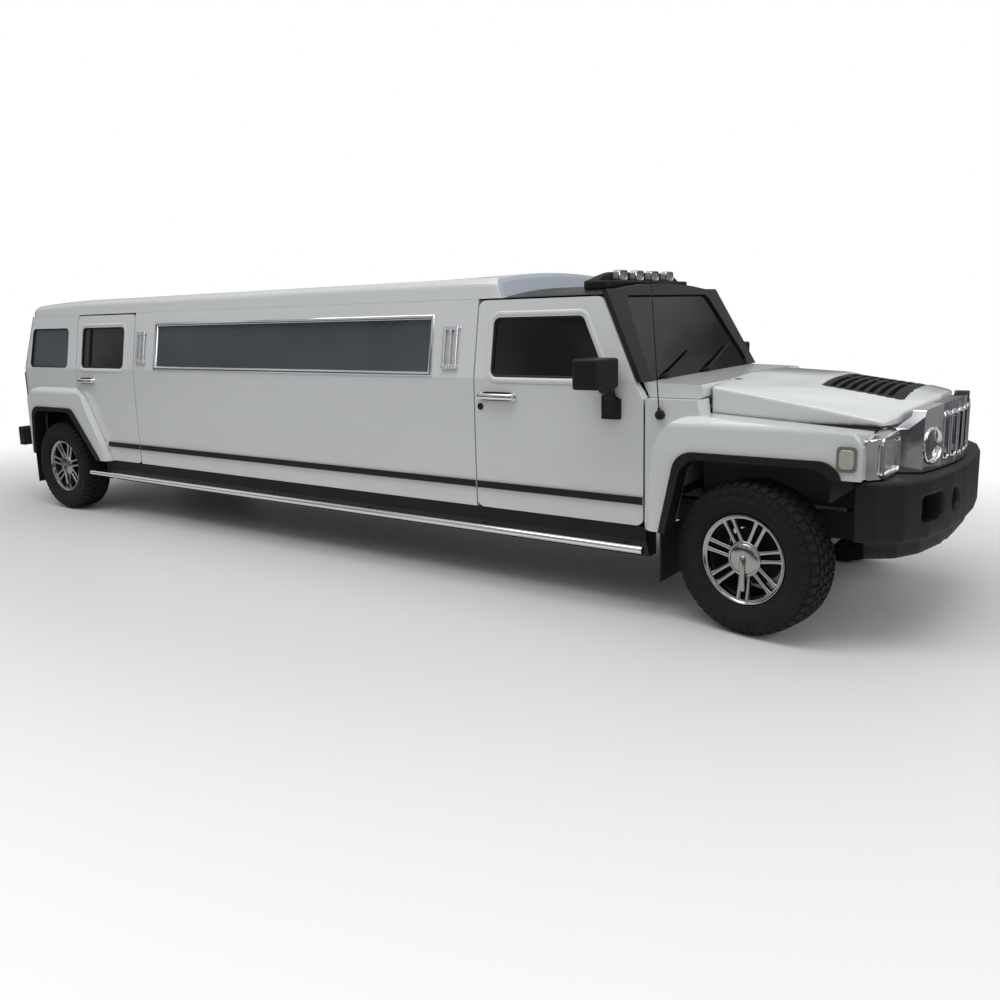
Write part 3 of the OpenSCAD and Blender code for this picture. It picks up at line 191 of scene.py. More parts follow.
# Painted reflection: the long windows' glass is lighter and bluer than the other glass, standing in for the sky
# reflected in it
LONG_GLASS_PAINTED_REFLECTION = mottle(material("long_glass", (0.062, 0.074, 0.090), 0.04, Alpha=0.96), 1.5, 0.02, 0.06)
SCREEN_GLASS = mottle(
    material("screen_glass", (0.004, 0.005, 0.005), 0.04, Specular_IOR_Level=0.32, Alpha=0.95), 1.5, 0.02, 0.06)
WHEEL_CHROME = mottle(material("wheel_chrome", (0.40, 0.39, 0.375), 0.12, metal=1.0), 9.0, 0.08, 0.18)
FRONT_CHROME = mottle(material("front_chrome", (0.80, 0.80, 0.82), 0.06, metal=1.0), 6.0, 0.04, 0.1)
grain(FRONT_CHROME, 4.5, 0.45, 0.03, 0.0)
# Painted shade: a grey-blue, darker copy of the white paint for the raised roof's front wall, standing in for
# the shade on that face
PAINTED_SHADE_ROOF_FRONT = mottle(material("roof_front", (0.42, 0.46, 0.53), 0.4, coat=0.4), 2.0, 0.32, 0.45)
grain(PAINTED_SHADE_ROOF_FRONT, 420, 0.03, 0.0003)
# Painted shade: near-black for the wheel's barrel and hub behind the spokes, where the inside of the wheel lies
# in shade
PAINTED_SHADE_BEHIND_SPOKES = grain(material("behind_spokes", (0.02, 0.019, 0.018), 0.7, metal=0.3), 90, 0.3, 0.002)
MIRROR = mottle(material("mirror_glass", (0.75, 0.78, 0.80), 0.02, metal=1.0), 3.0, 0.01, 0.03)

for part in frame["record"]["subparts"]:
    mesh = nodes[part["node"]].data
    mesh.materials.clear()
    mesh.materials.append(LOOK[part["material_slot"]])


def repaint(node, look, wanted):
    """Another finish on the faces of a CAD node whose middle and normal pass a test."""
    mesh = nodes[node].data
    mesh.materials.append(look)
    last = len(mesh.materials) - 1
    for face in mesh.polygons:
        if wanted(face.center, face.normal):
            face.material_index = last


def in_front_arch(c, n):
    """Faces of the fenders below the hood that look down or lie inside the skin."""
    return n.z < 0.5 and c.z < 1.09 and n.x < 0.5 and (n.z < -0.3 or abs(c.y) < HALF_W - 0.012)


repaint("front_fenders", UNDERSEAL, in_front_arch)
repaint("rear_quarters", UNDERSEAL, lambda c, n: abs(c.y) < 0.82 and c.z < 1.0 and c.x > RA - 0.66)
# The long windows get the lighter glass with its painted reflection
repaint("fixed_glass", LONG_GLASS_PAINTED_REFLECTION, lambda c, n: c.x < LOUNGE_X[1])
repaint("fixed_glass", SCREEN_GLASS, lambda c, n: c.x > LOUNGE_X[1])
repaint("grille", FRONT_CHROME, lambda c, n: True)
repaint("front_lamps", TURN_FRAME, lambda c, n: abs(c.y) > 0.925)
repaint("front_lamps", DARK_LENS, lambda c, n: abs(c.y) < 0.545 and c.z < 1.3)


# New pieces
def piece(name, verts, faces, slot, body, look=None, smooth=35):
    """A mesh piece that rides on a body and takes a slot's finish."""
    mesh = bpy.data.meshes.new(name)
    mesh.from_pydata([tuple(v) for v in verts], [], faces)
    mesh.validate()
    mesh.shade_smooth()
    mesh.set_sharp_from_angle(angle=math.radians(smooth))
    mesh.materials.append(look or LOOK[slot])
    obj = bpy.data.objects.new(name, mesh)
    scene.collection.objects.link(obj)
    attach(obj, body)
    return obj


def soften(obj, width):
    """Rounded edges."""
    mod = obj.modifiers.new("edges", "BEVEL")
    mod.width = width
    mod.segments = 3
    mod.limit_method = "ANGLE"
    mod.angle_limit = math.radians(40)
    return obj


def grid(rows, closed_rows=True, closed_columns=True):
    """Faces between rows of points, all of one length."""
    count, length, faces = len(rows), len(rows[0]), []
    for i in range(count if closed_rows else count - 1):
        for j in range(length if closed_columns else length - 1):
            a, b = i * length + j, i * length + (j + 1) % length
            c, d = (i + 1) % count * length + (j + 1) % length, (i + 1) % count * length + j
            faces.append((a, b, c, d))
    return [p for row in rows for p in row], faces


def end_faces(points, length):
    """Faces that close the first and the last row of a grid."""
    return [tuple(range(length)), tuple(range(len(points) - length, len(points)))]


def part_way(span, share):
    """A value between two ends."""
    return span[0] + (span[1] - span[0]) * share


def between(table, at):
    """A value read from rows of [place, value], along straight lines, and held beyond the last row."""
    for (a0, v0), (a1, v1) in zip(table, table[1:]):
        if at <= a1:
            return v0 + (v1 - v0) * (at - a0) / (a1 - a0)
    return table[-1][1]


def round_angles(count):
    """Angles once round a circle."""
    return [2 * math.pi * k / count for k in range(count)]


def oval(half_w, half_h, power_w, power_h, count):
    """Points round an oval; the lower the powers, the squarer it is."""
    def bent(c, power):
        return math.copysign(abs(c) ** power, c)

    return [(half_w * bent(math.cos(t), power_w), half_h * bent(math.sin(t), power_h))
        for t in round_angles(count)]


def rounded(half_w, half_h, round_w, round_h, count, first=0):
    """Points round a rectangle with round corners, starting at one of its four corners."""
    points = []
    for quarter in range(first, first + 4):
        u, v = ((1, 1), (-1, 1), (-1, -1), (1, -1))[quarter % 4]
        for k in range(count):
            t = math.radians(90 * (quarter % 4) + 90 * k / (count - 1))
            points.append((u * (half_w - round_w) + round_w * math.cos(t),
                v * (half_h - round_h) + round_h * math.sin(t)))
    return points


def tube(name, path, radii, slot, body, count=16, flat=1.0):
    """A round bar along a path, with closed ends."""
    path = [Vector(p) for p in path]
    rows = []
    for i, p in enumerate(path):
        way = (path[min(i + 1, len(path) - 1)] - path[max(i - 1, 0)]).normalized()
        side = way.cross(Vector((0, 0, 1)) if abs(way.z) < 0.9 else Vector((1, 0, 0))).normalized()
        over = side.cross(way)
        r = radii[i] if isinstance(radii, (list, tuple)) else radii
        rows.append([p + side * (r * flat * math.cos(t)) + over * (r * math.sin(t))
            for t in round_angles(count)])
    verts, faces = grid(rows, closed_rows=False)
    return piece(name, verts, faces + end_faces(verts, count), slot, body)


def prism(name, low, high, slot, body, round_by, look=None):
    """A slab between two outlines of the same number of points."""
    n = len(low)
    faces = [tuple(range(n)), tuple(range(2 * n - 1, n - 1, -1))]
    faces += [(i, (i + 1) % n, n + (i + 1) % n, n + i) for i in range(n)]
    return soften(piece(name, list(low) + list(high), faces, slot, body, look), round_by)


def box(name, low, high, slot, body, round_by):
    """A block between two corners."""
    (x0, y0, z0), (x1, y1, z1) = low, high
    foot, top = ([(x0, y0, z), (x1, y0, z), (x1, y1, z), (x0, y1, z)] for z in (z0, z1))
    return prism(name, foot, top, slot, body, round_by)


def side_box(name, s, xs, ys, zs, slot, body, round_by):
    """A block on one side of the body; ys are its distances from the middle plane."""
    y0, y1 = sorted(s * y for y in ys)
    return box(name, (xs[0], y0, zs[0]), (xs[1], y1, zs[1]), slot, body, round_by)


def outlines(node, normal):
    """Closed edge loops of a node's faces that look along a direction, each with its normal."""
    mesh = nodes[node].data
    point = [tuple(round(c, 5) for c in v.co) for v in mesh.vertices]
    edges = {}
    for face in mesh.polygons:
        if face.normal.dot(normal) > 0.6:
            corners = [point[i] for i in face.vertices]
            for a, b in zip(corners, corners[1:] + corners[:1]):
                edges[a, b] = Vector(face.normal)
    border = {a: (b, n) for (a, b), n in edges.items() if (b, a) not in edges}
    loops = []
    while border:
        start = next(iter(border))
        loop, at, n = [], start, None
        while at in border:
            loop.append(Vector(at))
            at, n = border.pop(at)
        loops.append((loop, n))
    return loops


def ring(name, loop, normal, section, slot, body):
    """A moulding round a flat loop; the section is [inset, height] from the loop's edge."""
    loop = [p for i, p in enumerate(loop) if (p - loop[i - 1]).length > 0.002]
    rows, n = [], len(loop)
    for i, p in enumerate(loop):
        before, after = (p - loop[i - 1]).normalized(), (loop[(i + 1) % n] - p).normalized()
        inward = normal.cross(before) + normal.cross(after)
        inward = inward.normalized() / max(0.4, inward.length / 2)
        rows.append([p + inward * a + normal * h for a, h in section])
    verts, faces = grid(rows)
    return piece(name, verts, faces, slot, body, smooth=40)


# Black rub strips along the sides, as [name, rear end, front end, body]
STRIP_Y, STRIP_Z = (HALF_W - 0.004, HALF_W + 0.006), (0.611, 0.651)
STRIPS = [("front", FA - 1.729, FA - 0.616, "door_front_SIDE"), ("middle", FA - 5.269, FA - 1.746, "chassis"),
    ("rear", FA - 5.738, FA - 5.286, "door_rear_SIDE")]
for side, s in SIDES.items():
    for name, x0, x1, body in STRIPS:
        side_box("rub_strip_%s_%s" % (name, side), s, (x0, x1), STRIP_Y, STRIP_Z, "black_trim",
            body.replace("SIDE", side), 0.0045)

# Window seals, the chrome frames of the long windows and soft lips round the door windows
SEAL = [(-0.0005, 0.0), (-0.0005, 0.010), (0.004, 0.0125), (0.010, 0.011), (0.0145, 0.006), (0.0145, 0.0)]
THIN_SEAL = [(-0.0005, 0.0), (-0.0005, 0.0155), (0.003, 0.0165), (0.007, 0.014), (0.008, 0.0)]
CHROME_FRAME = [(-0.010, 0.0175), (-0.010, 0.022), (-0.007, 0.026), (-0.001, 0.029), (0.008, 0.029),
    (0.015, 0.026), (0.020, 0.020), (0.020, 0.0), (0.001, 0.0), (0.001, 0.0175)]
LIP = [(-0.034, 0.0172), (-0.028, 0.0205), (-0.016, 0.0215), (-0.006, 0.0195), (-0.0005, 0.0145),
    (-0.0005, 0.0172)]
DIVIDER_X, DIVIDER_Z = FA - 5.955, (1.287, 1.631)
DIVIDER = [(-0.012, 0.0175), (-0.012, 0.008), (0.012, 0.008), (0.012, 0.0175)]  # [along, depth below the skin]
for side, s in SIDES.items():
    out = Vector((0, s, 0))
    for door in ("front", "rear"):
        body = "door_%s_%s" % (door, side)
        loop, n = outlines("%s_glass_%s" % (door, side), out)[0]
        ring("window_seal_%s_%s" % (door, side), loop, n, SEAL, "black_trim", body)
        ring("window_lip_%s_%s" % (door, side), loop, n, LIP, "white_paint", body)
    for loop, n in outlines("fixed_glass", out):
        if min(p.x for p in loop) < LOUNGE_X[0]:
            ring("quarter_seal_" + side, loop, n, THIN_SEAL, "black_trim", "chassis")
        elif max(p.x for p in loop) < LOUNGE_X[1]:
            ring("long_window_frame_" + side, loop, n, CHROME_FRAME, "chrome", "chassis")
    # Divider of the rear door's window
    foot, top = ([(DIVIDER_X + a, s * (skin_y(z) - depth), z) for a, depth in DIVIDER] for z in DIVIDER_Z)
    prism("window_divider_" + side, foot, top, "black_trim", "door_rear_" + side, 0.003)
for loop, n in outlines("tailgate_glass", Vector((-1, 0, 0))):
    ring("gate_seal", loop, n, THIN_SEAL, "black_trim", "rear_gate")


# Door handles with their cups, and the lock below the front ones; steps of the round ones are [radius, height]
BOSS = [(0.025, 0.0), (0.025, 0.006), (0.022, 0.011), (0.014, 0.014), (0.001, 0.0145)]
LOCK = [(0.021, 0.0), (0.021, 0.003), (0.018, 0.006), (0.013, 0.006), (0.012, 0.004), (0.0005, 0.004)]
HANDLE_END = 0.018
HANDLE_FOOT = [(0.0, 0.0005), (0.0, 0.014), (0.006, 0.022), (0.016, 0.026)]  # [along, height]


def button(name, x, z, s, steps, slot, body, count=28):
    """A round piece on the skin of a door."""
    rows = [[(x + r * math.cos(t), s * (FACE_Y + h), z + r * math.sin(t)) for t in round_angles(count)]
        for r, h in steps]
    verts, faces = grid(rows, closed_rows=False)
    piece(name, verts, faces + [tuple(range(count))], slot, body)


def handle(name, x0, x1, z, s, body):
    """A slightly bowed bar on two bosses, over a cup."""
    cup = [((x0 + x1) / 2 + a, z + b) for a, b in oval(0.44 * (x1 - x0), 0.024, 0.4, 0.6, 32)]
    low, high = ([(a, s * (FACE_Y + h), b) for a, b in cup] for h in (0.0, 0.004))
    prism(name + "_cup", low, high, "black_trim", body, 0.002)
    rear, front = x0 + HANDLE_END, x1 - HANDLE_END
    reach, tall = HANDLE_FOOT[-1]
    foot = [(rear + a, s * (FACE_Y + h), z) for a, h in HANDLE_FOOT]
    path = list(foot)
    for k in range(1, 8):
        bow = 0.003 * math.sin(math.pi * k / 8)
        path.append((part_way((rear + reach, front - reach), k / 8), s * (FACE_Y + tall + bow), z))
    path += [(x0 + x1 - px, py, pz) for px, py, pz in reversed(foot)]
    tube(name + "_bar", path, 0.0185, "chrome", body, 20, 0.6)
    for end, x in (("rear", rear), ("front", front)):
        button("%s_boss_%s" % (name, end), x, z, s, BOSS, "chrome", body)


def lock(name, x, z, s, body):
    """A round lock with the slot for its key."""
    button(name, x, z, s, LOCK, "black_trim", body)
    side_box(name + "_slot", s, (x - 0.0015, x + 0.0015), (FACE_Y + 0.004, FACE_Y + 0.0055),
        (z - 0.006, z + 0.006), "bare_steel", body, 0.0005)


for side, s in SIDES.items():
    handle("front_handle_" + side, FA - 1.705, FA - 1.432, 1.172, s, "door_front_" + side)
    handle("rear_handle_" + side, FA - 6.118, FA - 5.858, 1.176, s, "door_rear_" + side)
    lock("front_lock_" + side, FA - 1.692, 1.108, s, "door_front_" + side)

# Mirrors: the foot of each arm on the door's skin, and the glass on the back of the head
MIRROR_X, MIRROR_Y = DOOR_X - 0.126, HALF_W + 0.028
GLASS_X, GLASS_Y = (MIRROR_X - 0.2015, MIRROR_X - 0.174), (MIRROR_Y + 0.038, MIRROR_Y + 0.196)
GLASS_Z = (1.268, 1.386)
ARM_X = MIRROR_X - 0.060
ARM_FOOT = [(-0.052, 1.078), (0.052, 1.078), (0.052, 1.178), (0.020, 1.194), (-0.052, 1.194)]
for side, s in SIDES.items():
    low, high = ([(ARM_X + a, s * (skin_y(z) + h), z) for a, z in ARM_FOOT] for h in (-0.001, 0.017))
    prism("mirror_foot_" + side, low, high, "black_trim", "door_front_" + side, 0.006)
    shape = [(0.5 + a, 0.5 + b) for a, b in rounded(0.5, 0.5, 0.16, 0.2, 5, 2)]
    back = [(part_way(GLASS_X, u), s * part_way(GLASS_Y, u), part_way(GLASS_Z, v)) for u, v in shape]
    face = [(x - 0.003, y, z) for x, y, z in back]
    prism("mirror_glass_" + side, back, face, "chrome", "door_front_" + side, 0.0012, MIRROR)

# Aerial on the right wing: foot, boss and mast
AERIAL = Vector((FA - 0.514, -0.866, 1.106))
foot = [AERIAL + Vector((0, d, 0)) for d in (0.004, -0.012, -0.020, -0.024)]
tube("aerial_foot", foot, [0.026, 0.026, 0.022, 0.012], "black_trim", "chassis", 24)
boss = [AERIAL + Vector((x, -0.012, z)) for x, z in ((-0.0005, 0.006), (-0.002, 0.034), (-0.003, 0.042))]
tube("aerial_boss", boss, [0.010, 0.008, 0.004], "black_trim", "chassis", 20)
steps = [k / 12 for k in range(13)]
mast = [AERIAL + Vector((-0.003 - 0.052 * u, -0.012 + 0.004 * u, 0.034 + 0.69 * u)) for u in steps]
tube("aerial_mast", mast, [0.0032 - 0.0012 * u for u in steps], "black_trim", "chassis", 12)

# Wipers at the foot of the windscreen
SCREEN_UP = Vector((-0.24, 0, 0.464)).normalized()
SCREEN_OUT = Vector((SCREEN_UP.z, 0, -SCREEN_UP.x))
SCREEN_FOOT = Vector((FA - 0.627, 0, 1.274))


def on_screen(y, up, out):
    """A point on the windscreen, or off it by a distance."""
    return SCREEN_FOOT + Vector((0, y, 0)) + SCREEN_UP * up + SCREEN_OUT * out


for i, y0 in enumerate((-0.56, 0.03)):
    name = "wiper_%d" % i
    pivot = [on_screen(y0, 0.012, out) for out in (-0.016, 0.016, 0.024)]
    tube(name + "_pivot", pivot, [0.016, 0.016, 0.011], "black_trim", "chassis", 20)
    arm = [on_screen(y0, 0.012, 0.016), on_screen(y0 + 0.10, 0.045, 0.022), on_screen(y0 + 0.26, 0.088, 0.019)]
    tube(name + "_arm", arm, [0.011, 0.008, 0.005], "black_trim", "chassis", 12, 0.7)
    blade = [on_screen(y0 + 0.02 + 0.5 * u, 0.020 + 0.142 * u, 0.007 + 0.004 * math.sin(math.pi * u))
        for u in [k / 10 for k in range(11)]]
    tube(name + "_blade", blade, [0.004] + [0.0075] * 9 + [0.004], "black_trim", "chassis", 10, 0.8)


# Tyres with tread blocks, in place of the smooth ones
def tyre_mesh():
    """A tyre about the Y axis: bead, side wall with ribs and shoulder lugs, five rows of blocks."""
    side = [(0.2136, 0.0917), (0.2353, 0.0917), (0.2385, 0.099), (0.243, 0.108), (0.256, 0.1165),
        (0.2585, 0.1190), (0.263, 0.1190), (0.2655, 0.1195), (0.285, 0.1262), (0.302, 0.1302), (0.3045, 0.1320),
        (0.309, 0.1322), (0.3115, 0.1305), (0.330, 0.1290)]
    lug = [(0.3400, 0.1270), (0.3420, 0.1270), (0.3600, 0.1235), (0.3720, 0.1190)]
    lug_foot, lug_out = 0.341, 0.0035
    crown = [(0.0, 0.3970), (0.060, 0.3965), (0.0965, 0.3930), (0.108, 0.3870), (0.1155, 0.3790)]
    rows = [(-0.1150, -0.0700, 0.0), (-0.0600, -0.0260, 0.5), (-0.0180, 0.0180, 0.25), (0.0260, 0.0600, 0.0),
        (0.0700, 0.1150, 0.5)]
    pitches, block, depth, wall = 46, 0.70, 0.0095, 0.0012

    def top(y):
        return between(crown, abs(y))

    def raised(m, phase):
        return (m - phase) % 1.0 < block

    marks = sorted({round((phase + edge + d) % 1.0, 4)
        for _, _, phase in rows for edge in (0, block) for d in (-0.015, 0.015)})
    profile = [("side", r, -y, 0) for r, y in side] + [("lug", r, -y, 0.0) for r, y in lug]
    for y0, y1, phase in rows:
        span = 4 if y1 - y0 > 0.04 else 2
        tops = [y0 + wall] + [y0 + (y1 - y0) * k / span for k in range(1, span)] + [y1 - wall]
        profile.append(("low", top(y0) - depth, y0, phase))
        profile += [("block", top(y), y, phase) for y in tops]
        profile.append(("low", top(y1) - depth, y1, phase))
    profile += [("lug", r, y, 0.5) for r, y in reversed(lug)] + [("side", r, y, 0) for r, y in reversed(side)]
    lines = []
    for turn, m in [(p + m, m) for p in range(pitches) for m in marks]:
        t = 2 * math.pi * turn / pitches
        line = []
        for kind, r, y, phase in profile:
            if kind == "block" and not raised(m, phase):
                r -= depth
            if kind == "lug" and raised(m, phase) and r > lug_foot:
                y += math.copysign(lug_out, y)
            line.append((r * math.sin(t), y, r * math.cos(t)))
        lines.append(line)
    verts, faces = grid(lines, closed_columns=False)
    mesh = bpy.data.meshes.new("tyre")
    mesh.from_pydata(verts, [], faces)
    mesh.shade_smooth()
    mesh.set_sharp_from_angle(angle=math.radians(30))
    mesh.materials.append(LOOK["tyre_rubber"])
    return mesh


def wheel_mesh():
    """A cast wheel about the Y axis: rounded lip, barrel, seven twin spokes, smooth cap with a raised lever."""
    # The barrel and the hub take the painted shade behind the spokes; the lip, spokes and cap are chrome
    bright, dark = 0, 1
    verts, faces, finish = [], [], []

    def put(points, new_faces, index):
        start = len(verts)
        verts.extend(points)
        faces.extend(tuple(start + i for i in f) for f in new_faces)
        finish.extend([index] * len(new_faces))

    def revolve(section, index):
        """A section of [radius, depth] turned about the axle."""
        rows = [[(r * math.sin(t), y, r * math.cos(t)) for r, y in section] for t in round_angles(112)]
        points, new_faces = grid(rows, closed_columns=False)
        put(points, new_faces, index)

    def bar(path, across, deep, turn=0.0, power=0.55, count=20):
        """A rounded bar: path as [along, aside, depth], half width and half depth at each point."""
        cos, sin = math.cos(turn), math.sin(turn)
        rows = []
        for (z, x, y), w, d in zip(path, across, deep):
            shape = [(x + a, y + b) for a, b in oval(w, d, power, power, count)]
            rows.append([(px * cos + z * sin, py, -px * sin + z * cos) for px, py in shape])
        points, new_faces = grid(rows, closed_rows=False)
        put(points, new_faces + end_faces(points, count), bright)

    lip = [(0.2060, 0.074), (0.2085, 0.085), (0.2110, 0.0935), (0.2160, 0.0965), (0.2210, 0.0965),
        (0.2250, 0.1005), (0.2290, 0.1035), (0.2325, 0.1030), (0.2345, 0.0995), (0.2345, 0.0935),
        (0.2130, 0.0925)]
    barrel = [(0.2130, 0.0920), (0.2130, -0.0920), (0.2345, -0.0925), (0.2345, -0.1035), (0.2010, -0.1035),
        (0.2010, 0.060), (0.2060, 0.074)]
    hub = [(0.0, -0.030), (0.150, -0.030), (0.150, -0.014), (0.072, -0.014), (0.072, 0.054)]
    hub_cap = [(0.072, 0.054), (0.0945, 0.054), (0.0945, 0.080), (0.0920, 0.0855), (0.0875, 0.0880),
        (0.0840, 0.0880), (0.0825, 0.0865), (0.0800, 0.0865), (0.0765, 0.0905), (0.0700, 0.0940),
        (0.0400, 0.0965), (0.0, 0.0970)]
    for section, index in ((lip, bright), (barrel, dark), (hub, dark), (hub_cap, bright)):
        revolve(section, index)
    spoke = [(0.070, 0.0200, 0.064), (0.100, 0.0215, 0.067), (0.150, 0.0235, 0.071), (0.185, 0.0250, 0.0745),
        (0.212, 0.0265, 0.078)]
    for i in range(7):
        turn = math.pi + 2 * math.pi * i / 7
        for side in (-1, 1):
            bar([(z, side * x, y) for z, x, y in spoke], [0.0145, 0.0115, 0.0105, 0.0110, 0.0150],
                [0.016, 0.0155, 0.015, 0.015, 0.015], turn)
    lever = [(0.020, 0.094), (0.016, 0.0965), (0.0, 0.099), (-0.06, 0.099), (-0.115, 0.0965), (-0.165, 0.092),
        (-0.172, 0.088)]
    bar([(z, 0.0, y) for z, y in lever], [0.006, 0.0130, 0.0160, 0.0140, 0.0125, 0.0120, 0.008],
        [0.003, 0.006, 0.0085, 0.0085, 0.0085, 0.0085, 0.004], 0.0, 0.7, 24)
    ridge = [(0.006, 0.1068), (-0.002, 0.1078), (-0.06, 0.1078), (-0.105, 0.1052), (-0.112, 0.1040)]
    bar([(z, 0.0, y) for z, y in ridge], [0.004, 0.0075, 0.0065, 0.0055, 0.003],
        [0.0008, 0.0016, 0.0016, 0.0016, 0.0008], 0.0, 0.7, 16)
    mesh = bpy.data.meshes.new("wheel")
    mesh.from_pydata(verts, [], faces)
    mesh.materials.append(WHEEL_CHROME)
    mesh.materials.append(PAINTED_SHADE_BEHIND_SPOKES)
    for face, index in zip(mesh.polygons, finish):
        face.material_index = index
    mesh.shade_smooth()
    mesh.set_sharp_from_angle(angle=math.radians(38))
    return mesh


TYRE, WHEEL = tyre_mesh(), wheel_mesh()


def turning(name, mesh, middle, outward, body, node):
    """A wheel part in place of its CAD node; outward is the way its outer face looks."""
    y = Vector(outward).normalized()
    x = y.cross(Vector((0, 0, 1)))
    obj = bpy.data.objects.new(name, mesh)
    obj.matrix_world = Matrix.Translation(middle) @ Matrix((x, y, (0, 0, 1))).transposed().to_4x4()
    scene.collection.objects.link(obj)
    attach(obj, body)
    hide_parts(node)


def middle_of(node):
    """Middle of a node's box."""
    low, high = (Vector(v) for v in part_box(node))
    return (low + high) / 2


for end in ("front", "rear"):
    for side, s in SIDES.items():
        name = "%s_%s" % (end, side)
        spin = joints["spin_" + name]
        middle, outward = middle_of("tyre_" + name), Vector(spin["axis"]) * s
        turning("treaded_tyre_" + name, TYRE, middle, outward, spin["child"], "tyre_" + name)
        turning("cast_wheel_" + name, WHEEL, middle, outward, spin["child"], "rim_" + name)
middle = middle_of("spare_tyre")
turning("treaded_spare_tyre", TYRE, middle, (-1, 0, 0), "rear_gate", "spare_tyre")
turning("cast_spare_wheel", WHEEL, middle, (-1, 0, 0), "rear_gate", "spare_rim")

# Soft corners on moulded pieces, by modifiers on the CAD nodes, as [node, voxel size, smoothing passes]
MOULDED = [("mirror_left", 0.004, 40), ("mirror_right", 0.004, 40), ("front_bumper", 0.010, 5),
    ("light_bar", 0.004, 24), ("hood", 0.008, 8)]
for node, voxel, passes in MOULDED:
    mod = nodes[node].modifiers.new("rebuild", "REMESH")
    mod.mode, mod.voxel_size, mod.use_smooth_shade = "VOXEL", voxel, True
    mod = nodes[node].modifiers.new("soft", "SMOOTH")
    mod.factor, mod.iterations = 0.5, passes

# Front lamps: bezels and lenses
BEZEL = [(-0.027, 0.0212), (-0.024, 0.030), (-0.013, 0.034), (-0.004, 0.031), (0.003, 0.021), (0.010, 0.0008),
    (0.0, 0.0008)]
TRIM_RING = [(-0.016, 0.0212), (-0.014, 0.028), (-0.007, 0.031), (0.0, 0.027), (0.007, 0.012), (0.011, 0.0008),
    (0.0, 0.0008)]


def cap(name, loop, normal, height, crown, slot, body, look):
    """A crowned lens that fills a flat loop."""
    middle = sum(loop, Vector()) / len(loop)
    rows = [[middle + (p - middle) * f + normal * (height + crown * (1 - f ** 2)) for p in loop]
        for f in (0.985, 0.98, 0.9, 0.7, 0.5, 0.3, 0.12, 0.01)]
    rows[0] = [p - normal * height * 0.9 for p in rows[0]]
    verts, faces = grid(rows, closed_rows=False)
    return piece(name, verts, faces, slot, body, look, 60)


count = 0
for loop, n in outlines("front_lamps", Vector((1, 0, 0))):
    middle = sum(loop, Vector()) / len(loop)
    if middle.z < 1.3 and abs(middle.y) < 0.85:
        oblong = abs(middle.y) > 0.55
        section, height, look = (BEZEL, 0.014, None) if oblong else (TRIM_RING, 0.010, DARK_LENS)
        ring("lamp_bezel_%d" % count, loop, n, section, "chrome", "chassis")
        cap("lamp_lens_%d" % count, loop, n, height, 0.006, "clear_lens", "chassis", look)
        count += 1

# Bright edges above the lamps, covers and seals beside the hood, and the rear ends of the rockers
LAMP_EDGE = [(0.545, HALF_W + 0.018, 1.0345), (0.585, HALF_W - 0.04, 1.0385), (0.594, HALF_W - 0.15, 1.0460),
    (0.602, HALF_W - 0.276, 1.0545)]
EDGE_BACK, EDGE_THICK = 0.522, 0.006
HOOD_SEAL = [(0.20, 0.672), (0.25, 0.668), (0.357, 0.655), (0.452, 0.643), (0.505, 0.637)]
ROCKER_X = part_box("rocker_panels")[0][0]
for side, s in SIDES.items():
    top = [(FA + x, s * y, z) for x, y, z in LAMP_EDGE]
    top += [(FA + EDGE_BACK, s * y, z + 0.006) for x, y, z in reversed(LAMP_EDGE)]
    under = [(x, y, z - EDGE_THICK) for x, y, z in top]
    prism("bezel_top_" + side, under, top, "chrome", "chassis", 0.003)
    side_box("bay_cover_" + side, s, (FA + 0.30, FA + 0.521), (0.60, 0.714), (1.0566, 1.0600), "black_trim",
        "chassis", 0.001)
    seal = [(FA + x, s * y, 1.0615) for x, y in HOOD_SEAL]
    tube("hood_seal_" + side, seal, 0.0085, "black_trim", "chassis", 10)
    side_box("rocker_end_" + side, s, (ROCKER_X - 0.075, ROCKER_X + 0.004), (0.79, 0.842), (0.318, 0.484),
        "black_trim", "chassis", 0.008)

# Lips of the grille's slots, on its bowed front; its plan is [half width, distance ahead of the axle]
PLAN = [(0.0, 0.790), (0.040, 0.790), (0.160, 0.783), (HALF_W - 0.506, 0.752)]
SLOT_LIP = [(-0.0005, -0.030), (-0.0005, 0.003), (-0.006, 0.0065), (-0.012, 0.003), (-0.012, -0.001)]
SLOT_PITCH, SLOT_Z = 0.104, 1.001
for i in range(7):
    loop = []
    for a, b in rounded(0.030, 0.111, 0.020, 0.020, 6):
        y = (i - 3) * SLOT_PITCH + a
        loop.append(Vector((FA + between(PLAN, abs(y)), y, SLOT_Z + b)))
    n = (loop[6] - loop[0]).cross(loop[12] - loop[6]).normalized()
    ring("grille_slot_%d" % i, loop, n, SLOT_LIP, "chrome", "chassis")

# Turn lamps on the sides of the lamp housings
TURN_X, TURN_Y, TURN_Z = FA + 0.455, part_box("front_lamps")[1][1] - 0.0005, 0.946
TURN_SHAPE = oval(0.033, 0.046, 0.5, 0.5, 32)
for side, s in SIDES.items():
    low, high = ([(TURN_X + f * a, s * (TURN_Y + h), TURN_Z + f * b) for a, b in TURN_SHAPE]
        for f, h in ((1.0, 0.0), (0.9, 0.006)))
    prism("turn_lens_" + side, low, high, "clear_lens", "chassis", 0.002, TURN_LENS)

# Rims of the roof lamps, as [distance ahead, share of the width, share of the height]
LAMP_X, LAMP_Z = FA - 1.035, 1.858
RIM = [(0.010, 1.0, 1.0), (0.020, 1.0, 1.0), (0.023, 0.9, 0.86), (0.018, 0.82, 0.76), (0.010, 0.82, 0.76)]
for i, y in enumerate((-0.32, -0.105, 0.105, 0.32)):
    rows = [[(LAMP_X + d, y + wide * a, LAMP_Z + tall * b) for d, wide, tall in RIM]
        for a, b in oval(0.055, 0.031, 0.45, 0.45, 40)]
    verts, faces = grid(rows)
    piece("roof_lamp_rim_%d" % i, verts, faces, "chrome", "chassis")


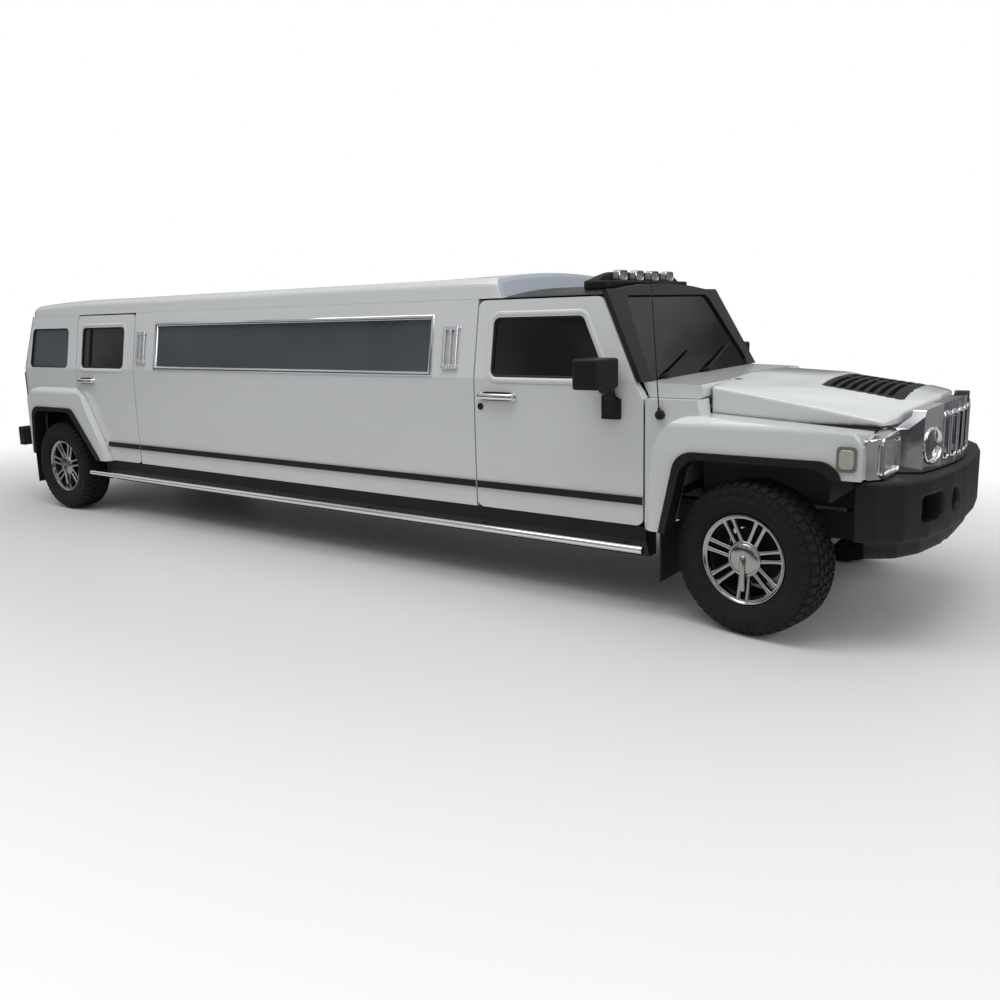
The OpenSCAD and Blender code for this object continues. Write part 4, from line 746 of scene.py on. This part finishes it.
# Bright rods on the pillars, in place of the flat bars
low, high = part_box("pillar_bars")
UPRIGHT = Vector((0, -LEAN, 1)).normalized()
ROD_Z, ROD_PITCH = 1.459, 0.046
ROD = [(-0.134, 0.007), (-0.130, 0.0125), (-0.108, 0.0125), (-0.105, 0.0098), (0.0, 0.0098), (0.105, 0.0098),
    (0.108, 0.0125), (0.130, 0.0125), (0.134, 0.007)]  # [along the rod, radius]
PLATE = [(-0.060, -0.009), (0.060, -0.009), (0.060, 0.009), (-0.060, 0.009)]
for side, s in SIDES.items():
    up = Vector((0, s * UPRIGHT.y, UPRIGHT.z))
    out = Vector((0, s * UPRIGHT.z, -UPRIGHT.y))
    for end, x in (("front", high[0] - 0.059), ("rear", low[0] + 0.059)):
        mid = Vector((x, s * skin_y(ROD_Z), ROD_Z))
        for k in range(3):
            path = [mid + Vector((ROD_PITCH * (k - 1), 0, 0)) + up * d + out * 0.014 for d, r in ROD]
            radii = [r for d, r in ROD]
            rod = tube("pillar_rod_%s_%s_%d" % (end, side, k), path, radii, "chrome", "chassis", 20)
            if (side, end, k) == ("right", "front", 0):
                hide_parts("pillar_bars")
        for name, d in (("top", 0.119), ("foot", -0.119)):
            base = [mid + up * d + Vector((dx, 0, 0)) + up * dz for dx, dz in PLATE]
            face = [p + out * 0.012 for p in base]
            prism("pillar_%s_%s_%s" % (name, end, side), base, face, "chrome", "chassis", 0.003)

# Raised roof with soft corners, leaning back and rising a little at its front, in place of the crowned one
low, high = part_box("roof")
ROOF_Z0, ROOF_SIDE, ROOF_TOP, ROOF_R = low[2] + 0.001, high[2] - 0.014, high[2], 0.065
FRONT_X, LEVEL_X, TAIL_X, TAIL_R = high[0] - 0.002, RA + 0.5, low[0], 0.24


def roof_section(half_w, side_z, top_z):
    """From the right edge over the top to the left one, as [y, z]."""
    r = min(ROOF_R, side_z - ROOF_Z0 - 0.004)
    edge = half_w - LEAN * (side_z - r - ROOF_Z0) - r
    points = [(half_w, ROOF_Z0)]
    for k in range(9):
        a = math.radians(90 * k / 8)
        points.append((edge + r * math.cos(a), side_z - r + r * math.sin(a)))
    points += [(edge * u, side_z + (top_z - side_z) * (1 - u ** 2)) for u in [1 - k / 8 for k in range(1, 9)]]
    return [(-y, z) for y, z in points] + [(y, z) for y, z in reversed(points[:-1])]


# Stations as [x, drop of the top, narrowing of the side]: round front edge, level middle, round tail
FRONT_EDGE = [(0.0, 0.030, 0.022), (0.006, 0.016, 0.011), (0.016, 0.006, 0.004), (0.030, 0.001, 0.0),
    (0.10, 0.0, 0.0)]
stations = [(FRONT_X - back, drop, narrow) for back, drop, narrow in FRONT_EDGE]
stations += [(part_way((FRONT_X - 0.10, LEVEL_X), k / 8), 0.0, 0.0) for k in range(1, 9)]
for k in range(1, 17):
    x = part_way((LEVEL_X, TAIL_X), math.sin(math.pi / 2 * k / 16))
    run = max(0.0, (LEVEL_X - x) / (LEVEL_X - TAIL_X))
    drop = 0.045 * run ** 2 + 0.062 * max(0.0, (run - 0.8) / 0.2) ** 2.5
    into_tail = max(0.0, TAIL_X + TAIL_R - x)
    stations.append((x, drop, TAIL_R - math.sqrt(max(0.0, TAIL_R ** 2 - into_tail ** 2))))
rows = []
for x, drop, narrow in stations:
    back = 0.075 * max(0.0, 1 - (FRONT_X - x) / 0.30)
    rise = 0.024 * max(0.0, 1 - (FRONT_X - x) / 0.8) ** 2
    section = roof_section(skin_y(ROOF_Z0) - narrow, ROOF_SIDE - drop, ROOF_TOP - drop + rise)
    rows.append([(x - back * (z - ROOF_Z0) / 0.14, y, z) for y, z in section])
verts, faces = grid(rows, closed_rows=False, closed_columns=False)
faces += end_faces(verts, len(section))
shell = piece("raised_roof", verts, faces, "white_paint", "chassis", smooth=50)
# The raised roof's front wall takes the painted shade, a grey-blue stand-in for shade on the same white paint
shell.data.materials.append(PAINTED_SHADE_ROOF_FRONT)
for face in shell.data.polygons:
    if abs(face.normal.x) > 0.45 and face.center.x > FRONT_X - 0.12:
        face.material_index = 1
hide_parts("roof")

# Shroud behind the roof lamps, lower towards its ends
low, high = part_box("light_bar")
SHROUD_X = LAMP_X - 0.022
rows = []
for u in [-1 + k / 20 for k in range(41)]:
    tall = 0.05 * (1 - max(0.0, (abs(u) - 0.62) / 0.38) ** 2.2) + 0.002
    profile = [(-0.098, -0.004), (-0.092, 0.3 * tall), (-0.068, 0.8 * tall), (-0.040, tall), (-0.006, tall),
        (0.0, 0.9 * tall), (0.0, -0.004)]
    rows.append([(SHROUD_X + x, u * (high[1] - 0.03), high[2] + z) for x, z in profile])
verts, faces = grid(rows, closed_rows=False)
piece("light_bar_shroud", verts, faces + end_faces(verts, len(profile)), "black_trim", "chassis", smooth=60)


# Seats: crowned leather cushions in place of the plain blocks
def cushion(name, centre, size, crown, channels, along, turn=0.0):
    """A closed pad: pillowed faces, pulled-in sides, sewn channels across it."""
    n, pull, taper, seam_w, seam_deep = 12, 0.03, 0.05, 0.012, 0.012
    half = Vector(size) / 2
    thin = min(range(3), key=lambda i: size[i])
    wide = [i for i in range(3) if i != thin]
    points, index, faces = [], {}, []

    def vertex(c):
        key = tuple(c)
        if key not in index:
            u = [2.0 * v / n - 1.0 for v in c]
            p = Vector([half[i] * u[i] for i in range(3)])
            a, b = u[wide[0]], u[wide[1]]
            p[wide[0]] *= 1 - pull * (1 - b * b) * abs(a) - taper * abs(u[thin]) ** 3
            p[wide[1]] *= 1 - pull * (1 - a * a) * abs(b) - taper * abs(u[thin]) ** 3
            swell = (1 - a ** 4) * (1 - b ** 4)
            seam = 0.0
            for k in range(1, channels):
                at = 2.0 * k / channels - 1.0
                seam = max(seam, math.exp(-((u[along] - at) * half[along] / seam_w) ** 2))
            p[thin] *= 1 - crown / half[thin] * (1 - swell) - seam_deep / half[thin] * seam * swell
            index[key] = len(points)
            points.append(p)
        return index[key]

    for axis in range(3):
        o1, o2 = [i for i in range(3) if i != axis]
        for level in (0, n):
            for i in range(n):
                for j in range(n):
                    quad = []
                    for di, dj in ((0, 0), (1, 0), (1, 1), (0, 1)):
                        c = [0, 0, 0]
                        c[axis], c[o1], c[o2] = level, i + di, j + dj
                        quad.append(vertex(c))
                    faces.append(tuple(quad if (level == n) == (axis != 1) else reversed(quad)))
    spin = Matrix.Rotation(math.radians(turn), 3, "Y")
    obj = piece(name, [Vector(centre) + spin @ p for p in points], faces, "seat_leather", "chassis", smooth=60)
    mod = obj.modifiers.new("soft", "SUBSURF")
    mod.levels = mod.render_levels = 1


FLOOR_Z, SEAT_Y, SEAT_TURN = 0.632, 0.40, -10.8
for side, s in SIDES.items():
    y = s * SEAT_Y
    plinth = box("seat_base_" + side, (DOOR_X - 0.985, y - 0.20, FLOOR_Z), (DOOR_X - 0.52, y + 0.20, 0.775),
        "dash_plastic", "chassis", 0.012)
    if s < 0:
        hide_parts("seats")
    cushion("seat_cushion_" + side, (DOOR_X - 0.735, y, 0.858), (0.50, 0.48, 0.155), 0.028, 4, 1)
    cushion("seat_back_" + side, (DOOR_X - 0.975, y, 1.162), (0.115, 0.48, 0.45), 0.026, 4, 1, SEAT_TURN)
    cushion("head_rest_" + side, (DOOR_X - 1.032, y, 1.478), (0.095, 0.27, 0.155), 0.022, 1, 1, SEAT_TURN)
BENCH_X0, BENCH_X1, BENCH_N, BENCH_GAP = RA + 0.53, DOOR_X - 1.62, 6, 0.006
BENCH_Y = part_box("seats")[1][1]
box("bench_base", (BENCH_X0, 0.23, FLOOR_Z), (BENCH_X1, BENCH_Y - 0.004, 0.855), "dash_plastic", "chassis",
    0.012)
step = (BENCH_X1 - BENCH_X0) / BENCH_N
for i in range(BENCH_N):
    x = BENCH_X0 + step * (i + 0.5)
    cushion("bench_cushion_%d" % i, (x, (0.20 + BENCH_Y) / 2 - 0.002, 0.927),
        (step - BENCH_GAP, BENCH_Y - 0.208, 0.142), 0.028, 4, 0)
    cushion("bench_back_%d" % i, (x, BENCH_Y - 0.054, 1.126), (step - BENCH_GAP, 0.098, 0.244), 0.024, 4, 0)

# Camera, fitted to the photograph
EYE = Vector((FA + 1.585, -5.3087, 1.6706))
FORWARD = Vector((-0.5911, 0.7858, -0.182)).normalized()
RIGHT = Vector((0.8021, 0.5965, -0.0298)).normalized()
UP = RIGHT.cross(FORWARD)
FOCAL_PX, CENTRE_PX, PICTURE_PX = 915.58, (474.055, 481.304), 1000
cam = bpy.data.cameras.new("camera")
cam.sensor_width = 36
cam.lens = FOCAL_PX / PICTURE_PX * cam.sensor_width
cam.shift_x = (PICTURE_PX / 2 - CENTRE_PX[0]) / PICTURE_PX
cam.shift_y = (CENTRE_PX[1] - PICTURE_PX / 2) / PICTURE_PX
camera = bpy.data.objects.new("camera", cam)
camera.matrix_world = Matrix((
    (RIGHT.x, UP.x, -FORWARD.x, EYE.x), (RIGHT.y, UP.y, -FORWARD.y, EYE.y),
    (RIGHT.z, UP.z, -FORWARD.z, EYE.z), (0, 0, 0, 1)))
scene.collection.objects.link(camera)
scene.camera = camera

# Stage: pale floor that fades out into a white surround, soft studio light
bpy.ops.mesh.primitive_circle_add(vertices=96, radius=14, fill_type="NGON", location=(0, 0, -0.001))
floor = bpy.context.object
floor.name = "floor"
pale = material("pale_floor", (0.80, 0.80, 0.80), 0.45)
coords = add(pale, "ShaderNodeTexCoord")
squeeze = add(pale, "ShaderNodeMapping", Scale=(1 / 9.0, 1 / 5.2, 1.0))
far = add(pale, "ShaderNodeVectorMath")
far.operation = "LENGTH"
link(pale, coords.outputs["Object"], squeeze.inputs["Vector"])
link(pale, squeeze.outputs["Vector"], far.inputs[0])
fade = add(pale, "ShaderNodeMapRange", From_Min=0.42, From_Max=0.98, To_Min=1.0, To_Max=0.0)
fade.interpolation_type = "SMOOTHSTEP"
link(pale, far.outputs["Value"], fade.inputs["Value"])
link(pale, fade.outputs["Result"], shader(pale).inputs["Alpha"])
floor.data.materials.append(pale)

world = bpy.data.worlds.new("studio")
world.use_nodes = True
scene.world = world
wt = world.node_tree
coords = wt.nodes.new("ShaderNodeTexCoord")
split = wt.nodes.new("ShaderNodeSeparateXYZ")
ramp = wt.nodes.new("ShaderNodeValToRGB")
lift = wt.nodes.new("ShaderNodeMapRange")
lift.inputs["From Min"].default_value = -1.0
wt.links.new(coords.outputs["Generated"], split.inputs["Vector"])
wt.links.new(split.outputs["Z"], lift.inputs["Value"])
wt.links.new(lift.outputs["Result"], ramp.inputs["Fac"])
stops = [(0.0, 0.14), (0.48, 0.14), (0.50, 0.045), (0.535, 0.06), (0.56, 0.40), (0.72, 0.40), (1.0, 0.95)]
while len(ramp.color_ramp.elements) < len(stops):
    ramp.color_ramp.elements.new(0.5)
for element, (at, level) in zip(ramp.color_ramp.elements, stops):
    element.position = at
    element.color = (level * 0.97, level * 0.99, level, 1.0)
sky = wt.nodes["Background"]
clouds = wt.nodes.new("ShaderNodeTexNoise")
clouds.inputs["Scale"].default_value = 5.5
clouds.inputs["Detail"].default_value = 3.0
depth = wt.nodes.new("ShaderNodeMapRange")
for name, value in (("From Min", 0.35), ("From Max", 0.65), ("To Min", 0.3), ("To Max", 1.7)):
    depth.inputs[name].default_value = value
wt.links.new(coords.outputs["Generated"], clouds.inputs["Vector"])
wt.links.new(clouds.outputs["Fac"], depth.inputs["Value"])
wt.links.new(depth.outputs["Result"], sky.inputs["Strength"])
wt.links.new(ramp.outputs["Color"], sky.inputs["Color"])
plain = wt.nodes.new("ShaderNodeBackground")
path = wt.nodes.new("ShaderNodeLightPath")
mix = wt.nodes.new("ShaderNodeMixShader")
wt.links.new(path.outputs["Is Camera Ray"], mix.inputs[0])
wt.links.new(sky.outputs[0], mix.inputs[1])
wt.links.new(plain.outputs[0], mix.inputs[2])
wt.links.new(mix.outputs[0], wt.nodes["World Output"].inputs["Surface"])
plain.inputs["Color"].default_value = (1, 1, 1, 1)


def area_light(name, place, target, size, power):
    data = bpy.data.lights.new(name, "AREA")
    data.shape = "RECTANGLE"
    data.size, data.size_y = size
    data.energy = power
    lamp = bpy.data.objects.new(name, data)
    lamp.location = place
    lamp.rotation_euler = (Vector(target) - Vector(place)).to_track_quat("-Z", "Y").to_euler()
    scene.collection.objects.link(lamp)


area_light("key", (1.0, -3.4, 8.5), (0, 0, 0.8), (11, 3), 300)
area_light("fill", (9.5, -1.0, 3.5), (3, 0, 0.9), (4, 3), 90)
scene.view_settings.view_transform = "Standard"
